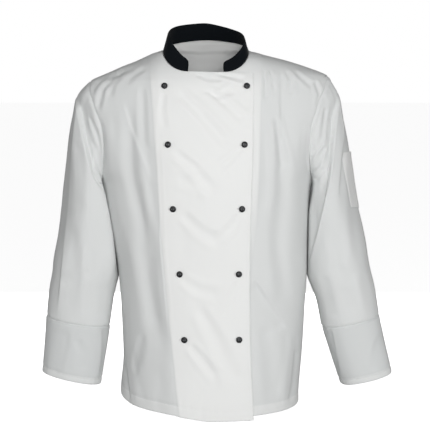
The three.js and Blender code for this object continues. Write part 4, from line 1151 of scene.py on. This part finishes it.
def stud_mesh(name, place, out):
    """A domed stud head on its neck, with two small hollows in its face, painted lighter grey as painted
    highlights.
    """
    around = STUD_SIDES
    turn = np.linspace(0, 2 * np.pi, around, endpoint=False)
    side = unit(np.cross([0, 0, 1.0], out))
    up = np.cross(out, side)
    points, painted_highlights = [], []
    for radius, height in STUD:
        u, v = radius * np.cos(turn), radius * np.sin(turn)
        hollow = np.exp(-(((np.abs(u) - 1.8) / 0.85) ** 2 + (v / 1.5) ** 2) ** 2) * (height > 3)
        tall = height + STUD_GAP - 0.75 * hollow
        points.append(place + side * u[:, None] + up * v[:, None] + out * tall[:, None])
        painted_highlights.append(hollow)
    points.append((place + out * (height + STUD_GAP))[None])
    painted_highlights.append([0])
    points = np.concatenate(points)
    faces = []
    last_ring = (len(STUD) - 1) * around
    for low in range(0, last_ring, around):
        for i in range(around):
            a, b = low + i, low + (i + 1) % around
            faces += [(a, b, b + around), (a, b + around, a + around)]
    faces += [(last_ring + i, last_ring + (i + 1) % around, len(points) - 1) for i in range(around)]
    obj = mesh_object(name, points * MM, np.array(faces))
    colour_mesh(obj, np.concatenate(painted_highlights))
    return obj


HOLE_LONG = 10.5
HOLE_HALF = 1.3
BAR_HALF = 0.75  # half a thread bar's length
BAR_PITCH = 0.75


def buttonhole(place, out):
    """Close thread bars round a slit that starts under the stud."""
    side = unit(np.cross([0, 0, 1.0], out))
    up = np.cross(out, side)
    bars = []
    for k in np.arange(0, HOLE_LONG, BAR_PITCH):
        for v in (-HOLE_HALF, HOLE_HALF):
            centre = place - side * k + up * v * 0.75 + out * 0.35
            bar = np.array([centre - up * BAR_HALF, centre + up * BAR_HALF])
            bars.append(stitches(bar, np.array([out, out]), 2 * BAR_HALF, 2 * BAR_HALF, 0.36))
    return joined(bars)


hole_parts = []
for number, (stud_z, right_x, left_x) in enumerate(STUDS, 1):
    for column, stud_x in (("right", right_x), ("left", left_x)):
        place, out = find_on_front(stud_x, stud_z)
        stud = stud_mesh(f"shown_stud_{column}_{number}", place, out)
        finish_piece(stud, f"stud_{column}_{number}", PLASTIC)
        hole_parts.append(buttonhole(place, out))
hole_points, hole_faces = joined(hole_parts)
holes = mesh_object("buttonholes", hole_points * MM, hole_faces)
finish_piece(holes, "front_right", WHITE_THREAD)


# Studio, in metres and watts

FLOOR_HALF = 30
FLOOR_HEIGHT = -1.05
AIM = (0, 0, -0.4)
# Name, place, width and height, power
LIGHTS = [
    ("Key", (0.2, -3.2, 0.35), (1.0, 1.0), 50),
    ("Right fill", (1.8, -2.6, -0.3), (1.0, 1.4), 20),
    ("Left fill", (-1.7, -2.7, 0.4), (1.0, 1.4), 8),
    ("Back fill", (0, 3.2, -0.3), (1.4, 1.4), 26),
]
CAMERA_PLACE = (0.018, -2.782, -0.021)
CAMERA_PITCH = 83.5  # 90 looks level
FOCAL_LENGTH = 114.36


def stage_floor():
    corners = [(-1, -1), (1, -1), (1, 1), (-1, 1)]
    points = np.array([(x * FLOOR_HALF, y * FLOOR_HALF, FLOOR_HEIGHT) for x, y in corners], float)
    floor = mesh_object("floor", points, np.array([(0, 1, 2), (0, 2, 3)]))
    material, _, _ = new_material("floor", {
        "Base Color": (0.9, 0.9, 0.9, 1), "Roughness": 0.9,
        "Emission Color": (1, 1, 1, 1), "Emission Strength": 0.8,
    })
    floor.data.materials.append(material)
    floor.visible_diffuse = False
    floor.visible_glossy = False


def area_light(name, place, size, power):
    data = bpy.data.lights.new(name, "AREA")
    data.shape = "RECTANGLE"
    data.size, data.size_y = size
    data.energy = power
    lamp = bpy.data.objects.new(name, data)
    lamp.location = place
    lamp.rotation_euler = (Vector(AIM) - Vector(place)).to_track_quat("-Z", "Y").to_euler()
    bpy.context.scene.collection.objects.link(lamp)


stage_floor()
world = bpy.data.worlds.new("Studio")
bpy.context.scene.world = world
world.use_nodes = True
sky = world.node_tree.nodes
background = sky["Background"]
ray = sky.new("ShaderNodeTexCoord")
apart = sky.new("ShaderNodeSeparateXYZ")
world.node_tree.links.new(ray.outputs["Generated"], apart.inputs["Vector"])
ramp = sky.new("ShaderNodeValToRGB")
# White beside the horizon and grey above and below it
for stop, position, grey in zip(ramp.color_ramp.elements, (0.07, 0.16), (1, 0.16)):
    stop.position = position
    stop.color = (grey, grey, grey, 1)
height = sky.new("ShaderNodeMath")
height.operation = "ABSOLUTE"
world.node_tree.links.new(apart.outputs["Z"], height.inputs[0])
world.node_tree.links.new(height.outputs["Value"], ramp.inputs["Fac"])
world.node_tree.links.new(ramp.outputs["Color"], background.inputs["Color"])
background.inputs["Strength"].default_value = 1.0
for light in LIGHTS:
    area_light(*light)

camera_data = bpy.data.cameras.new("Camera")
camera_data.sensor_width = 36
camera_data.lens = FOCAL_LENGTH
camera = bpy.data.objects.new("Camera", camera_data)
camera.location = CAMERA_PLACE
camera.rotation_euler = (math.radians(CAMERA_PITCH), 0, 0)
bpy.context.scene.collection.objects.link(camera)
bpy.context.scene.camera = camera
bpy.context.scene.view_settings.view_transform = "Standard"
